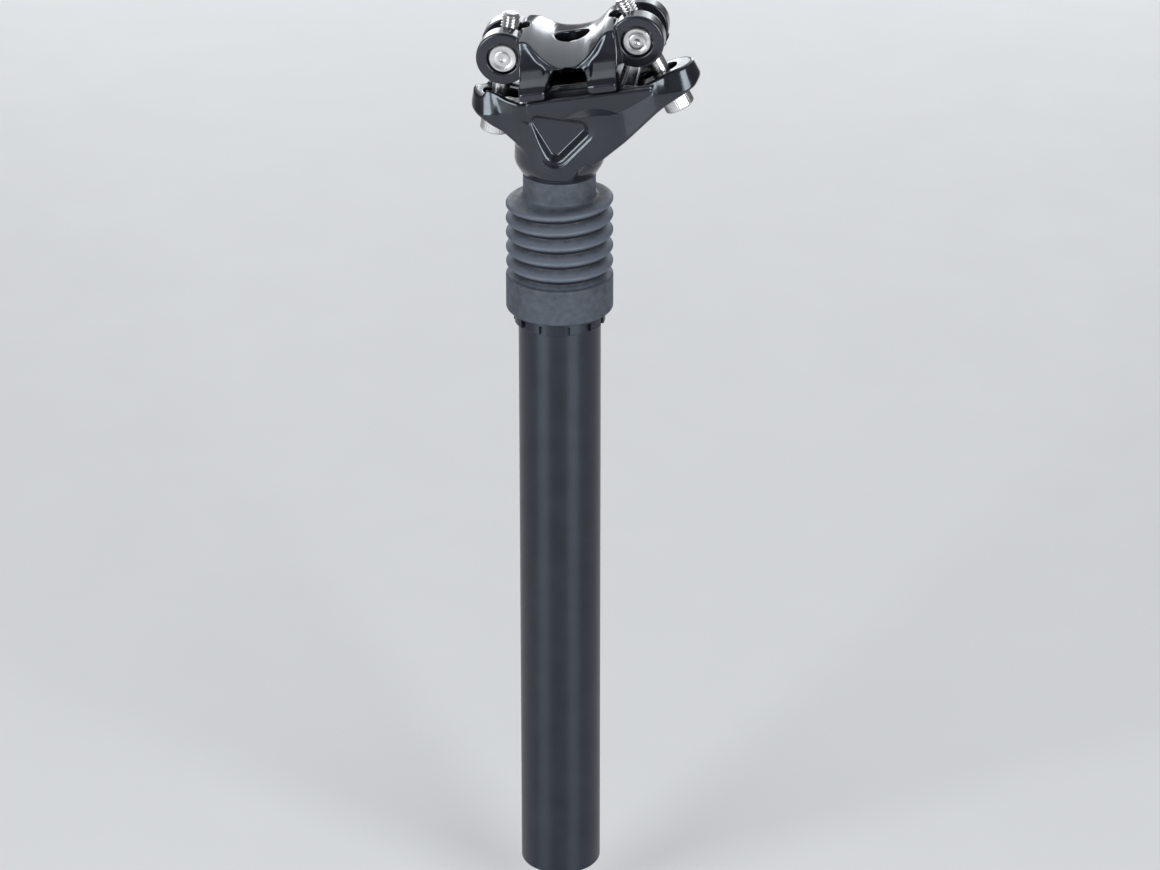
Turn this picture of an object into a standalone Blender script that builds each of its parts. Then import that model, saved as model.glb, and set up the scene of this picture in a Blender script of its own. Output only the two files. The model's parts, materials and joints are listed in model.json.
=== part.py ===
"""Suspension seatpost: a telescopic bicycle seatpost with a coil spring inside, a bellows boot and a two-bolt head.

Metres, +Z up along the tubes, +X towards the rear of the bicycle, origin on the axis at the tube's lower end.
"""

import math

import bmesh
import bpy
from mathutils import Matrix, Vector

GAP = 0.0003  # between neighbouring pieces
ROUND = 32  # sides of the larger turned pieces
SMALL_ROUND = 24  # sides of the smaller ones

# Fixed tube, measured along Z
TUBE_RADIUS = 0.0136
TUBE_BORE = 0.0113
TUBE_TOP = 0.2120
TUBE_NECK_RADIUS = 0.0126  # turned down under the cap nut
TUBE_NECK_START = 0.2063
TUBE_EDGE = 0.0016  # rounding of the lower outer edge

# Castellated cap nut
NUT_RADIUS = 0.0151
NUT_BOTTOM = 0.2045
NUT_TOP = 0.2178
NUT_CHAMFER = 0.0006
NUT_NOTCHES = 12
NOTCH_WIDTH = 0.0024
NOTCH_HEIGHT = 0.0030

# Sliding stanchion and what guides it
STANCHION_RADIUS = 0.0100
STANCHION_BORE = 0.0079
STANCHION_BOTTOM = 0.1500
STANCHION_TOP = 0.2680
BUSHING_BOTTOM = 0.1780
BUSHING_TOP = 0.2138
FLANGE_BOTTOM = TUBE_TOP + GAP
SEAL_BOTTOM = BUSHING_TOP + GAP
SEAL_TOP = 0.2161
KEY_COUNT = 4
KEY_RADIUS = 0.0010
KEY_BOTTOM = 0.1822
KEY_LENGTH = 0.0280
GROOVE_BOTTOM = 0.1680
GROOVE_TOP = 0.2380
LOWER_BUSHING_BOTTOM = 0.1526
LOWER_BUSHING_TOP = 0.1645
LOWER_BUSHING_SEAT = 0.0090  # stanchion turned down under the bushing
RING_BOTTOM = 0.1508
RING_HEIGHT = 0.0010
RING_REACH = 0.0014  # beyond the stanchion's turned-down end
RING_SPLIT = 0.0030
BUMPER_BOTTOM = LOWER_BUSHING_TOP + GAP
BUMPER_TOP = BUSHING_BOTTOM - GAP

# Spring stack
SPRING_BOTTOM = 0.0343
SPRING_TOP = 0.1457
SPRING_WIRE = 0.0030
SPRING_RADIUS = 0.0080  # to the middle of the wire
SPRING_TURNS = 12
SPRING_POINTS = 12  # a turn
SEAT_RADIUS = 0.0109
SEAT_BOTTOM = 0.0300
SEAT_THICKNESS = 0.0040
NOSE_RADIUS = 0.0058
NOSE_HEIGHT = 0.0070
NOSE_TAPER = 0.0010
SEAT_STEM = 0.0080  # of the upper seat, inside the stanchion
UPPER_SEAT_RADIUS = 0.0097
PLUG_BOTTOM = 0.0140
PLUG_TOP = SEAT_BOTTOM - GAP
PLUG_HEX = 0.0080  # across flats
PLUG_HEX_DEPTH = 0.0080
CORE_RADIUS = 0.0050
CORE_TOP = 0.1080
CORE_RIBS = 6
CORE_RIB_DEPTH = 0.0008
PLUG_CHAMFER = 0.0006

# Bellows boot
CUFF_RADIUS = 0.01765
CUFF_BORE = 0.0154
CUFF_BOTTOM = 0.2091
CUFF_TOP = 0.2216
FOLDS = 5
FOLD_PITCH = 0.0053
FIRST_CREST = 0.2254
CREST_RADIUS = 0.0177
VALLEY_RADIUS = 0.0154
BOOT_WALL = 0.0012
FOLD_HALF_FLAT = 0.0006  # half the height of each crest and valley's flat
FLANGE_RISE = 0.0030  # from the top crest to the foot of the neck
CUFF_EDGE = 0.0010
NECK_RADIUS = 0.0119
NECK_TOP = 0.2566

# Head: collar on the tube axis, arms and seat in the clamp's frame
COLLAR_RADIUS = 0.0146
COLLAR_BOTTOM = 0.2569
COLLAR_TOP = 0.2760
ARM_HALF_WIDTH = 0.0078
ARM_REAR_END = 0.0318  # middle of each arm's round end
ARM_FRONT_END = -0.0283
ARM_FRONT_RADIUS = 0.0090
LIP_THICKNESS = 0.0036
BODY_HALF_WIDTH = 0.0150
POCKET_DEPTH = 0.0016

# Clamp frame: origin on the axis that the saddle tilts about, X along the rails, Z along the clamp's normal
PIVOT = Vector((0.0021, 0.0, 0.3159))
CLAMP_TILT = math.radians(10.0)
ROCKER_RADIUS = 0.0340
RAIL_SPACING = 0.0440
RAIL_RADIUS = 0.0035
RAIL_Z = -0.0228
RAIL_SIDES = 12
CRADLE_HALF_WIDTH = 0.0270
CRADLE_TOP = -0.0239
CRADLE_CORE_HALF_WIDTH = 0.0156  # the part of the cradle that rocks in the head
WING_INNER = 0.0154
CRADLE_HOLLOW = ((-0.0100, -0.0130, -0.0300), (0.0130, 0.0130, -0.0200))  # opposite corners
CRADLE_NOTCH = ((0.0165, -0.0045, -0.0400), (0.0300, 0.0045, -0.0200))  # lets the rear bolt swing
CLAMP_HOLLOW = ((-0.0135, -0.0170, -0.0300), (0.0135, 0.0170, -0.0156))
WINDOW_RADIUS = 0.0050
WINDOW_STRETCH = 1.12  # along the rails
CLAMP_FOOT = -0.0235
CLAMP_HALF_WIDTH = 0.0270

# Barrel nuts and clamp bolts
NUT_SPACING = 0.0438
NUT_Z = -0.0140
BARREL_RADIUS = 0.0048
BARREL_HALF_LENGTH = 0.0098
EAR_RADIUS = 0.0087
EAR_OUTER = 0.0100
EAR_SLOT = 0.0034  # half its width
EAR_SLOT_START = 0.0129  # from the clamp's middle
BOLT_LEAN = math.radians(18.0)
BOLT_RADIUS = 0.0029
WASHER_HOLE = 0.0032
THREAD_HOLE = 0.0034
BOLT_TIP = 0.0125  # above the barrel nut's axis
BOLT_SEAT = 0.0220  # under-head face below the barrel nut's axis
HEAD_RADIUS = 0.0050
HEAD_HEIGHT = 0.0063
BOLT_HEX = 0.0050
BOLT_HEX_DEPTH = 0.0034
SWIVEL_DROP = 0.0263  # washer's swivel axis below the barrel nut's axis
WASHER_RADIUS = 0.0069
WASHER_HALF_WIDTH = 0.0050
SLOT_INWARD = 0.0080  # room for the bolt to swing, each way from its axis
SLOT_OUTWARD = 0.0054
HEAD_ROOM = 0.0200  # clear height under each arm for a bolt's head

BLACK_PAINT = ((0.012, 0.012, 0.014), 0.16, 0.0)
BLACK_ANODISED = ((0.018, 0.018, 0.022), 0.32, 0.6)
DARK_RUBBER = ((0.030, 0.031, 0.034), 0.62, 0.0)
BRIGHT_STEEL = ((0.62, 0.63, 0.65), 0.26, 1.0)
DARK_STEEL = ((0.30, 0.31, 0.33), 0.30, 1.0)
NATURAL_PLASTIC = ((0.70, 0.69, 0.64), 0.45, 0.0)
DARK_PLASTIC = ((0.05, 0.05, 0.055), 0.45, 0.0)
AMBER_ELASTOMER = ((0.55, 0.30, 0.06), 0.50, 0.0)


def clear_scene():
    for item in list(bpy.data.objects):
        bpy.data.objects.remove(item, do_unlink=True)


def new_collection(name):
    collection = bpy.data.collections.new(name)
    bpy.context.scene.collection.children.link(collection)
    return collection


def new_object(name, mesh, matrix=None):
    item = bpy.data.objects.new(name, mesh)
    parts.objects.link(item)
    if matrix is not None:
        item.matrix_world = matrix
    return item


def use_material(item, look):
    colour, roughness, metallic = look
    material = bpy.data.materials.new(item.name)
    material.use_nodes = True
    shader = material.node_tree.nodes["Principled BSDF"]
    shader.inputs["Base Color"].default_value = (*colour, 1.0)
    shader.inputs["Roughness"].default_value = roughness
    shader.inputs["Metallic"].default_value = metallic
    item.data.materials.append(material)
    item.data.shade_smooth()
    item.data.set_sharp_from_angle(angle=math.radians(32))
    return item


def as_cutter(item):
    parts.objects.unlink(item)
    cutters.objects.link(item)
    item.hide_render = True
    item.display_type = "WIRE"
    return item


def combine(item, other, operation):
    modifier = item.modifiers.new(other.name, "BOOLEAN")
    modifier.operation = operation
    modifier.object = as_cutter(other)


def join_to(item, *others):
    for other in others:
        combine(item, other, "UNION")


def cut_from(item, *others):
    for other in others:
        combine(item, other, "DIFFERENCE")


def hang_on(item, parent):
    """Parents an object and keeps where it is."""
    placed = item.matrix_world.copy()
    item.parent = parent
    item.matrix_parent_inverse = parent.matrix_world.inverted()
    item.matrix_world = placed


def new_pivot(name, matrix):
    pivot = bpy.data.objects.new(name, None)
    pivot.empty_display_size = 0.01
    parts.objects.link(pivot)
    pivot.matrix_world = matrix
    return pivot


def arc(centre, radius, start, end, count):
    """Points on an arc in a plane, from one angle in degrees to another."""
    points = []
    for step in range(count + 1):
        angle = math.radians(start + (end - start) * step / count)
        points.append((centre[0] + radius * math.cos(angle), centre[1] + radius * math.sin(angle)))
    return points


def turned(name, profile, sides=ROUND, closed=True, matrix=None):
    """A profile of (radius, height) points turned about Z. A closed one is a ring; an open one ends on the axis."""
    mesh = bpy.data.meshes.new(name)
    count = len(profile)
    edges = [(i, i + 1) for i in range(count - 1)]
    if closed:
        edges.append((count - 1, 0))
    mesh.from_pydata([(radius, 0.0, height) for radius, height in profile], edges, [])
    item = new_object(name, mesh, matrix)
    screw = item.modifiers.new("turn", "SCREW")
    screw.angle = math.tau
    screw.steps = sides
    screw.render_steps = sides
    screw.use_merge_vertices = True
    screw.merge_threshold = 0.00001
    return item


def cylinder(name, radius, low, high, matrix=None, sides=SMALL_ROUND):
    """A solid cylinder about Z from one height to another."""
    mesh = bpy.data.meshes.new(name)
    shape = bmesh.new()
    bmesh.ops.create_cone(
        shape, cap_ends=True, segments=sides, radius1=radius, radius2=radius, depth=high - low
    )
    bmesh.ops.translate(shape, verts=shape.verts, vec=(0.0, 0.0, (low + high) / 2))
    shape.to_mesh(mesh)
    shape.free()
    return new_object(name, mesh, matrix)


def box(name, low, high, matrix=None):
    mesh = bpy.data.meshes.new(name)
    shape = bmesh.new()
    bmesh.ops.create_cube(shape, size=1.0)
    size = [b - a for a, b in zip(low, high)]
    middle = [(a + b) / 2 for a, b in zip(low, high)]
    bmesh.ops.scale(shape, verts=shape.verts, vec=size)
    bmesh.ops.translate(shape, verts=shape.verts, vec=middle)
    shape.to_mesh(mesh)
    shape.free()
    return new_object(name, mesh, matrix)


def plate(name, outline, near, far, matrix=None):
    """A flat outline of (x, z) points, filled and thickened along Y from near to far."""
    curve = bpy.data.curves.new(name, "CURVE")
    curve.dimensions = "2D"
    curve.fill_mode = "BOTH"
    curve.extrude = (far - near) / 2
    spline = curve.splines.new("POLY")
    spline.points.add(len(outline) - 1)
    for point, (x, z) in zip(spline.points, outline):
        point.co = (x, z, 0.0, 1.0)
    spline.use_cyclic_u = True
    guide = new_object(name + "_outline", curve)
    bpy.context.view_layer.update()
    graph = bpy.context.evaluated_depsgraph_get()
    mesh = bpy.data.meshes.new_from_object(guide.evaluated_get(graph))
    bpy.data.objects.remove(guide, do_unlink=True)
    shape = bmesh.new()
    shape.from_mesh(mesh)
    bmesh.ops.remove_doubles(shape, verts=shape.verts, dist=0.000001)
    stand_up = Matrix.Rotation(math.radians(90), 4, "X")
    bmesh.ops.transform(shape, matrix=stand_up, verts=shape.verts)
    bmesh.ops.translate(shape, verts=shape.verts, vec=(0.0, (near + far) / 2, 0.0))
    bmesh.ops.recalc_face_normals(shape, faces=shape.faces)
    shape.to_mesh(mesh)
    shape.free()
    return new_object(name, mesh, matrix)


def cross_bar(name, radius, centre, half_length, frame, sides=SMALL_ROUND):
    """A solid cylinder along Y about a point (x, z) of the frame."""
    lay_down = Matrix.Translation((centre[0], 0.0, centre[1])) @ Matrix.Rotation(math.radians(90), 4, "X")
    return cylinder(name, radius, -half_length, half_length, frame @ lay_down, sides)


def clamp_frame():
    return Matrix.Translation(PIVOT) @ Matrix.Rotation(-CLAMP_TILT, 4, "Y")


def nut_frame(side):
    """Origin at a barrel nut's centre, Z up along its bolt. side is -1 at the front and 1 at the rear."""
    centre = Matrix.Translation((side * NUT_SPACING / 2, 0.0, NUT_Z))
    return clamp_frame() @ centre @ Matrix.Rotation(-side * BOLT_LEAN, 4, "Y")


def swivel_frame(side):
    """The same directions, with the origin on the half-round washer's swivel axis."""
    return nut_frame(side) @ Matrix.Translation((0.0, 0.0, -SWIVEL_DROP))


def outer_tube():
    profile = [(TUBE_NECK_RADIUS, TUBE_TOP), (TUBE_NECK_RADIUS, TUBE_NECK_START)]
    profile.append((TUBE_RADIUS, TUBE_NECK_START - GAP))
    profile += arc((TUBE_RADIUS - TUBE_EDGE, TUBE_EDGE), TUBE_EDGE, 0, -90, 4)
    profile += [(TUBE_BORE, 0.0), (TUBE_BORE, TUBE_TOP)]
    return use_material(turned("outer_tube", profile), BLACK_ANODISED)


def top_cap_nut():
    bore = TUBE_NECK_RADIUS + GAP
    profile = [
        (NUT_RADIUS - NUT_CHAMFER, NUT_TOP),
        (NUT_RADIUS, NUT_TOP - NUT_CHAMFER),
        (NUT_RADIUS, NUT_BOTTOM + NUT_CHAMFER),
        (NUT_RADIUS - NUT_CHAMFER, NUT_BOTTOM),
        (TUBE_RADIUS + GAP, NUT_BOTTOM),
        (TUBE_RADIUS + GAP, TUBE_NECK_START + GAP),
        (bore, TUBE_NECK_START + GAP),
        (bore, SEAL_TOP + GAP),
        (STANCHION_RADIUS + 2 * GAP, SEAL_TOP + GAP),
        (STANCHION_RADIUS + 2 * GAP, NUT_TOP),
    ]
    nut = use_material(turned("top_cap_nut", profile), BLACK_ANODISED)
    for index in range(NUT_NOTCHES):
        spin = Matrix.Rotation(math.tau * (index + 0.5) / NUT_NOTCHES, 4, "Z")
        low = (TUBE_RADIUS + 2 * GAP, -NOTCH_WIDTH / 2, NUT_BOTTOM - GAP)
        high = (NUT_RADIUS + GAP, NOTCH_WIDTH / 2, NUT_BOTTOM + NOTCH_HEIGHT)
        cut_from(nut, box(f"cap_nut_notch_{index + 1}", low, high, spin))
    return nut


def upper_guide_bushing():
    inner = STANCHION_RADIUS + GAP
    sleeve = TUBE_BORE - GAP
    profile = [
        (TUBE_NECK_RADIUS, BUSHING_TOP),
        (TUBE_NECK_RADIUS, FLANGE_BOTTOM),
        (sleeve, FLANGE_BOTTOM),
        (sleeve, BUSHING_BOTTOM),
        (inner, BUSHING_BOTTOM),
        (inner, BUSHING_TOP),
    ]
    bushing = use_material(turned("upper_guide_bushing", profile), NATURAL_PLASTIC)
    for index in range(KEY_COUNT):
        spin = Matrix.Rotation(math.tau * index / KEY_COUNT, 4, "Z")
        half = KEY_RADIUS + GAP
        low = (STANCHION_RADIUS - half, -half, KEY_BOTTOM - GAP)
        high = (TUBE_BORE + GAP, half, KEY_BOTTOM + KEY_LENGTH + GAP)
        cut_from(bushing, box(f"key_window_{index + 1}", low, high, spin))
    return bushing


def wiper_seal():
    inner = STANCHION_RADIUS + GAP
    profile = [
        (TUBE_NECK_RADIUS, SEAL_TOP),
        (TUBE_NECK_RADIUS, SEAL_BOTTOM),
        (inner + GAP, SEAL_BOTTOM),
        (inner, SEAL_TOP),
    ]
    return use_material(turned("wiper_seal", profile), DARK_RUBBER)


def anti_rotation_keys():
    for index in range(KEY_COUNT):
        spin = Matrix.Rotation(math.tau * index / KEY_COUNT, 4, "Z")
        place = spin @ Matrix.Translation((STANCHION_RADIUS, 0.0, KEY_BOTTOM))
        key = cylinder(f"anti_rotation_key_{index + 1}", KEY_RADIUS, 0.0, KEY_LENGTH, place, 12)
        use_material(key, BRIGHT_STEEL)


def stanchion_tube():
    profile = [
        (STANCHION_RADIUS, STANCHION_TOP),
        (STANCHION_RADIUS, LOWER_BUSHING_TOP + GAP),
        (LOWER_BUSHING_SEAT, LOWER_BUSHING_TOP + GAP),
        (LOWER_BUSHING_SEAT, RING_BOTTOM + RING_HEIGHT + GAP),
        (LOWER_BUSHING_SEAT - 2 * GAP, RING_BOTTOM + RING_HEIGHT + GAP),
        (LOWER_BUSHING_SEAT - 2 * GAP, RING_BOTTOM - GAP),
        (LOWER_BUSHING_SEAT, RING_BOTTOM - GAP),
        (LOWER_BUSHING_SEAT, STANCHION_BOTTOM),
        (STANCHION_BORE, STANCHION_BOTTOM),
        (STANCHION_BORE, STANCHION_TOP),
    ]
    stanchion = use_material(turned("stanchion_tube", profile), DARK_STEEL)
    for index in range(KEY_COUNT):
        spin = Matrix.Rotation(math.tau * index / KEY_COUNT, 4, "Z")
        place = spin @ Matrix.Translation((STANCHION_RADIUS, 0.0, 0.0))
        groove = cylinder(f"key_groove_{index + 1}", KEY_RADIUS + GAP, GROOVE_BOTTOM, GROOVE_TOP, place, 12)
        cut_from(stanchion, groove)
    return stanchion


def lower_guide_bushing():
    outer = TUBE_BORE - GAP
    inner = LOWER_BUSHING_SEAT + GAP
    low, high = LOWER_BUSHING_BOTTOM, LOWER_BUSHING_TOP
    profile = [(outer, high), (outer, low), (inner, low), (inner, high)]
    return use_material(turned("lower_guide_bushing", profile), NATURAL_PLASTIC)


def retaining_ring():
    outer = LOWER_BUSHING_SEAT + RING_REACH
    inner = LOWER_BUSHING_SEAT - GAP
    low, high = RING_BOTTOM, RING_BOTTOM + RING_HEIGHT
    ring = turned("retaining_ring", [(outer, high), (outer, low), (inner, low), (inner, high)])
    use_material(ring, BRIGHT_STEEL)
    half = RING_SPLIT / 2
    split = box("retaining_ring_split", (0.0, -half, low - GAP), (outer + GAP, half, high + GAP))
    cut_from(ring, split)
    return ring


def top_out_bumper():
    outer = TUBE_BORE - GAP
    inner = STANCHION_RADIUS + GAP
    low, high = BUMPER_BOTTOM, BUMPER_TOP
    middle = (low + high) / 2
    profile = [(outer - GAP, high), (outer, middle), (outer - GAP, low), (inner, low), (inner, high)]
    return use_material(turned("top_out_bumper", profile), AMBER_ELASTOMER)


def upper_spring_seat():
    top = STANCHION_BOTTOM - GAP
    flange = SPRING_TOP + GAP
    profile = [
        (0.0, top + SEAT_STEM),
        (STANCHION_BORE - GAP, top + SEAT_STEM),
        (STANCHION_BORE - GAP, top),
        (UPPER_SEAT_RADIUS, top),
        (UPPER_SEAT_RADIUS, flange),
        (NOSE_RADIUS, flange),
        (NOSE_RADIUS - NOSE_TAPER, flange - NOSE_HEIGHT),
        (0.0, flange - NOSE_HEIGHT),
    ]
    return use_material(turned("upper_spring_seat", profile, SMALL_ROUND, False), DARK_PLASTIC)


def main_spring():
    """A round-wire coil whose end turns close up, with its wire inside the two seats' faces."""
    curve = bpy.data.curves.new("main_spring", "CURVE")
    curve.dimensions = "3D"
    curve.bevel_depth = SPRING_WIRE / 2
    curve.bevel_resolution = 2
    curve.use_fill_caps = True
    low = SPRING_BOTTOM + SPRING_WIRE / 2
    high = SPRING_TOP - SPRING_WIRE / 2
    closed_rise = 1.1 * SPRING_WIRE
    count = SPRING_TURNS * SPRING_POINTS
    spline = curve.splines.new("POLY")
    spline.points.add(count)
    for step, point in enumerate(spline.points):
        turn = step / SPRING_POINTS
        if turn < 1:
            height = low + closed_rise * turn
        elif turn > SPRING_TURNS - 1:
            height = high - closed_rise * (SPRING_TURNS - turn)
        else:
            share = (turn - 1) / (SPRING_TURNS - 2)
            height = low + closed_rise + share * (high - low - 2 * closed_rise)
        angle = math.tau * turn
        point.co = (SPRING_RADIUS * math.cos(angle), SPRING_RADIUS * math.sin(angle), height, 1.0)
    spring = new_object("main_spring", curve)
    material = bpy.data.materials.new("main_spring")
    material.use_nodes = True
    shader = material.node_tree.nodes["Principled BSDF"]
    shader.inputs["Base Color"].default_value = (*DARK_STEEL[0], 1.0)
    shader.inputs["Roughness"].default_value = DARK_STEEL[1]
    shader.inputs["Metallic"].default_value = DARK_STEEL[2]
    curve.materials.append(material)
    return spring


def elastomer_core():
    low = SEAT_BOTTOM + SEAT_THICKNESS + NOSE_HEIGHT + GAP
    waist = CORE_RADIUS - CORE_RIB_DEPTH
    profile = [(0.0, CORE_TOP), (waist, CORE_TOP)]
    pitch = (CORE_TOP - low) / CORE_RIBS
    for rib in range(CORE_RIBS):
        top = CORE_TOP - rib * pitch
        profile += [(CORE_RADIUS, top - 0.25 * pitch), (CORE_RADIUS, top - 0.75 * pitch), (waist, top - pitch)]
    profile.append((0.0, low))
    return use_material(turned("elastomer_core", profile, 16, False), AMBER_ELASTOMER)


def lower_spring_seat():
    top = SEAT_BOTTOM + SEAT_THICKNESS
    profile = [
        (0.0, top + NOSE_HEIGHT),
        (NOSE_RADIUS - NOSE_TAPER, top + NOSE_HEIGHT),
        (NOSE_RADIUS, top),
        (SEAT_RADIUS, top),
        (SEAT_RADIUS, SEAT_BOTTOM),
        (0.0, SEAT_BOTTOM),
    ]
    return use_material(turned("lower_spring_seat", profile, SMALL_ROUND, False), DARK_PLASTIC)


def preload_plug():
    edge = PLUG_CHAMFER
    profile = [
        (0.0, PLUG_TOP),
        (SEAT_RADIUS - edge, PLUG_TOP),
        (SEAT_RADIUS, PLUG_TOP - edge),
        (SEAT_RADIUS, PLUG_BOTTOM + edge),
        (SEAT_RADIUS - edge, PLUG_BOTTOM),
        (0.0, PLUG_BOTTOM),
    ]
    plug = use_material(turned("preload_plug", profile, SMALL_ROUND, False), BLACK_ANODISED)
    corner = PLUG_HEX / math.sqrt(3)
    low, high = PLUG_BOTTOM - GAP, PLUG_BOTTOM + PLUG_HEX_DEPTH
    cut_from(plug, cylinder("preload_hex", corner, low, high, None, 6))
    return plug


def fold_outline(radius_in, radius_out):
    """Points of the bellows' outer or inner line, from the top fold down."""
    half_height = FOLD_HALF_FLAT
    points = []
    for fold in range(FOLDS):
        crest = FIRST_CREST + (FOLDS - 1 - fold) * FOLD_PITCH
        points.append((radius_out, crest + half_height))
        points.append((radius_out, crest - half_height))
        if fold < FOLDS - 1:
            points.append((radius_in, crest - FOLD_PITCH / 2 + half_height))
            points.append((radius_in, crest - FOLD_PITCH / 2 - half_height))
    return points


def bellows_boot():
    top_crest = FIRST_CREST + (FOLDS - 1) * FOLD_PITCH
    profile = [(NECK_RADIUS, NECK_TOP), (NECK_RADIUS, top_crest + FLANGE_RISE)]
    profile += fold_outline(VALLEY_RADIUS, CREST_RADIUS)
    profile += [(VALLEY_RADIUS + 0.9 * CUFF_EDGE, FIRST_CREST - FOLD_PITCH / 2), (CUFF_RADIUS, CUFF_TOP - 0.8 * CUFF_EDGE)]
    profile += [(CUFF_RADIUS, CUFF_BOTTOM + CUFF_EDGE), (CUFF_RADIUS - 0.8 * CUFF_EDGE, CUFF_BOTTOM)]
    profile += [(CUFF_BORE, CUFF_BOTTOM), (CUFF_BORE, NUT_TOP + 2 * GAP)]
    profile.append((VALLEY_RADIUS - BOOT_WALL / 2, FIRST_CREST - 0.6 * FOLD_PITCH))
    inside = fold_outline(VALLEY_RADIUS - BOOT_WALL, CREST_RADIUS - BOOT_WALL)
    profile += list(reversed(inside))
    neck_bore = STANCHION_RADIUS + GAP
    profile += [(neck_bore, top_crest + FLANGE_RISE / 2), (neck_bore, NECK_TOP)]
    return use_material(turned("bellows_boot", profile), DARK_RUBBER)


def head_collar():
    edge = COLLAR_RADIUS - 0.0022
    profile = [(0.0, COLLAR_TOP), (COLLAR_RADIUS, COLLAR_TOP)]
    profile += [(COLLAR_RADIUS, COLLAR_BOTTOM + 0.0045), (COLLAR_RADIUS - 0.0005, COLLAR_BOTTOM + 0.0025)]
    profile += [(COLLAR_RADIUS - 0.0013, COLLAR_BOTTOM + 0.0010), (edge, COLLAR_BOTTOM), (0.0, COLLAR_BOTTOM)]
    return turned("head_collar", profile, ROUND, False)


def head_body():
    """The wide middle of the head, from the rocker seat down to the foot of its boss. World X and Z."""
    outline = [
        (-0.0062, 0.2590), (0.0045, 0.2590), (0.0075, 0.2625), (0.0158, 0.2682), (0.0300, 0.2805),
        (0.0265, 0.2880), (-0.0100, 0.2855), (-0.0165, 0.2830), (-0.0165, 0.2740), (-0.0125, 0.2700),
        (-0.0086, 0.2660),
    ]
    return plate("head_body", outline, -BODY_HALF_WIDTH, BODY_HALF_WIDTH)


def arm_plan(frame):
    """The arms seen along the clamp's normal: straight sides and round ends."""
    outline = arc((ARM_FRONT_END, 0.0), ARM_FRONT_RADIUS, 90, 270, 12)
    outline += arc((ARM_REAR_END, 0.0), ARM_HALF_WIDTH, -90, 90, 12)
    lie_flat = frame @ Matrix.Rotation(math.radians(90), 4, "X")
    return plate("arm_plan", outline, -0.0600, -0.0100, lie_flat)


def head_arms(frame):
    """Both arms as one plate with the front lips, in the clamp's frame."""
    outline = [
        (-0.0340, -0.0264), (-0.0364, -0.0274), (-0.0373, -0.0292), (-0.0364, -0.0312), (-0.0340, -0.0332),
        (-0.0267, -0.0389), (-0.0225, -0.0440), (0.0010, -0.0525), (0.0045, -0.0510), (0.0269, -0.0372),
        (0.0373, -0.0326), (0.0392, -0.0305), (0.0396, -0.0286), (0.0375, -0.0251), (0.0320, -0.0262),
        (0.0218, -0.0286), (0.0, -0.0330), (-0.0176, -0.0305), (-0.0256, -0.0276),
    ]
    arms = plate("head_arms", outline, -ARM_HALF_WIDTH, ARM_HALF_WIDTH, frame)
    join_to(arms, *front_lips(frame))
    combine(arms, arm_plan(frame), "INTERSECT")
    return arms


def front_lips(frame):
    """Raised side walls of the front arm, which leave its top hollow."""
    outline = [
        (-0.0176, -0.0306), (-0.0220, -0.0275), (-0.0259, -0.0256), (-0.0300, -0.0238), (-0.0335, -0.0232),
        (-0.0358, -0.0243), (-0.0366, -0.0272), (-0.0340, -0.0300), (-0.0267, -0.0350), (-0.0176, -0.0380),
    ]
    outer = ARM_FRONT_RADIUS
    inner = outer - LIP_THICKNESS
    near = plate("front_lip_near", outline, -outer, -inner, frame)
    far = plate("front_lip_far", outline, inner, outer, frame)
    return near, far


def side_pocket(name, side):
    """The three-cornered recess in one flank of the head body. World X and Z."""
    outline = [
        (-0.0078, 0.2795), (-0.0082, 0.2775), (0.0000, 0.2670), (0.0010, 0.2667),
        (0.0108, 0.2752), (0.0107, 0.2773), (0.0085, 0.2783), (-0.0060, 0.2806),
    ]
    near = side * BODY_HALF_WIDTH - POCKET_DEPTH
    return plate(name, outline, near, near + 2 * POCKET_DEPTH)


def bolt_slot(side):
    """Room for one bolt through its arm, longer towards the tube so that the bolt can swing. Swivel frame."""
    inward = -side * SLOT_INWARD
    outward = side * SLOT_OUTWARD
    low = (min(inward, outward), -BOLT_RADIUS - 2 * GAP, 0.0)
    high = (max(inward, outward), BOLT_RADIUS + 2 * GAP, HEAD_ROOM)
    return box(f"bolt_slot_{side_name(side)}", low, high, swivel_frame(side))


def washer_seat(side):
    """Cylindrical seat under an arm for the half-round washer, with the bolt head's room below it."""
    seat = cross_bar(
        f"washer_seat_{side_name(side)}", WASHER_RADIUS + GAP, (0.0, 0.0),
        WASHER_HALF_WIDTH + 2 * GAP, swivel_frame(side), 32,
    )
    half = WASHER_HALF_WIDTH + 2 * GAP
    reach = WASHER_RADIUS + GAP
    below = box(
        f"bolt_head_room_{side_name(side)}", (-reach, -half, -HEAD_ROOM), (reach, half, 0.0),
        swivel_frame(side),
    )
    return seat, below


def side_name(side):
    return "front" if side < 0 else "rear"


def head_forging(frame):
    head = use_material(head_collar(), BLACK_PAINT)
    head.name = "head_forging"
    join_to(head, head_body(), head_arms(frame))
    socket_top = STANCHION_TOP + GAP
    low = COLLAR_BOTTOM - 0.0020
    cut_from(head, cylinder("stanchion_socket", STANCHION_RADIUS + GAP, low, socket_top, None, ROUND))
    seat = cross_bar("rocker_seat", ROCKER_RADIUS + GAP, (0.0, 0.0), 0.0200, frame, 96)
    cut_from(head, seat)
    for side in (-1, 1):
        cut_from(head, bolt_slot(side), *washer_seat(side))
        cut_from(head, side_pocket(f"side_pocket_{'near' if side < 0 else 'far'}", side))
    return head


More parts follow.
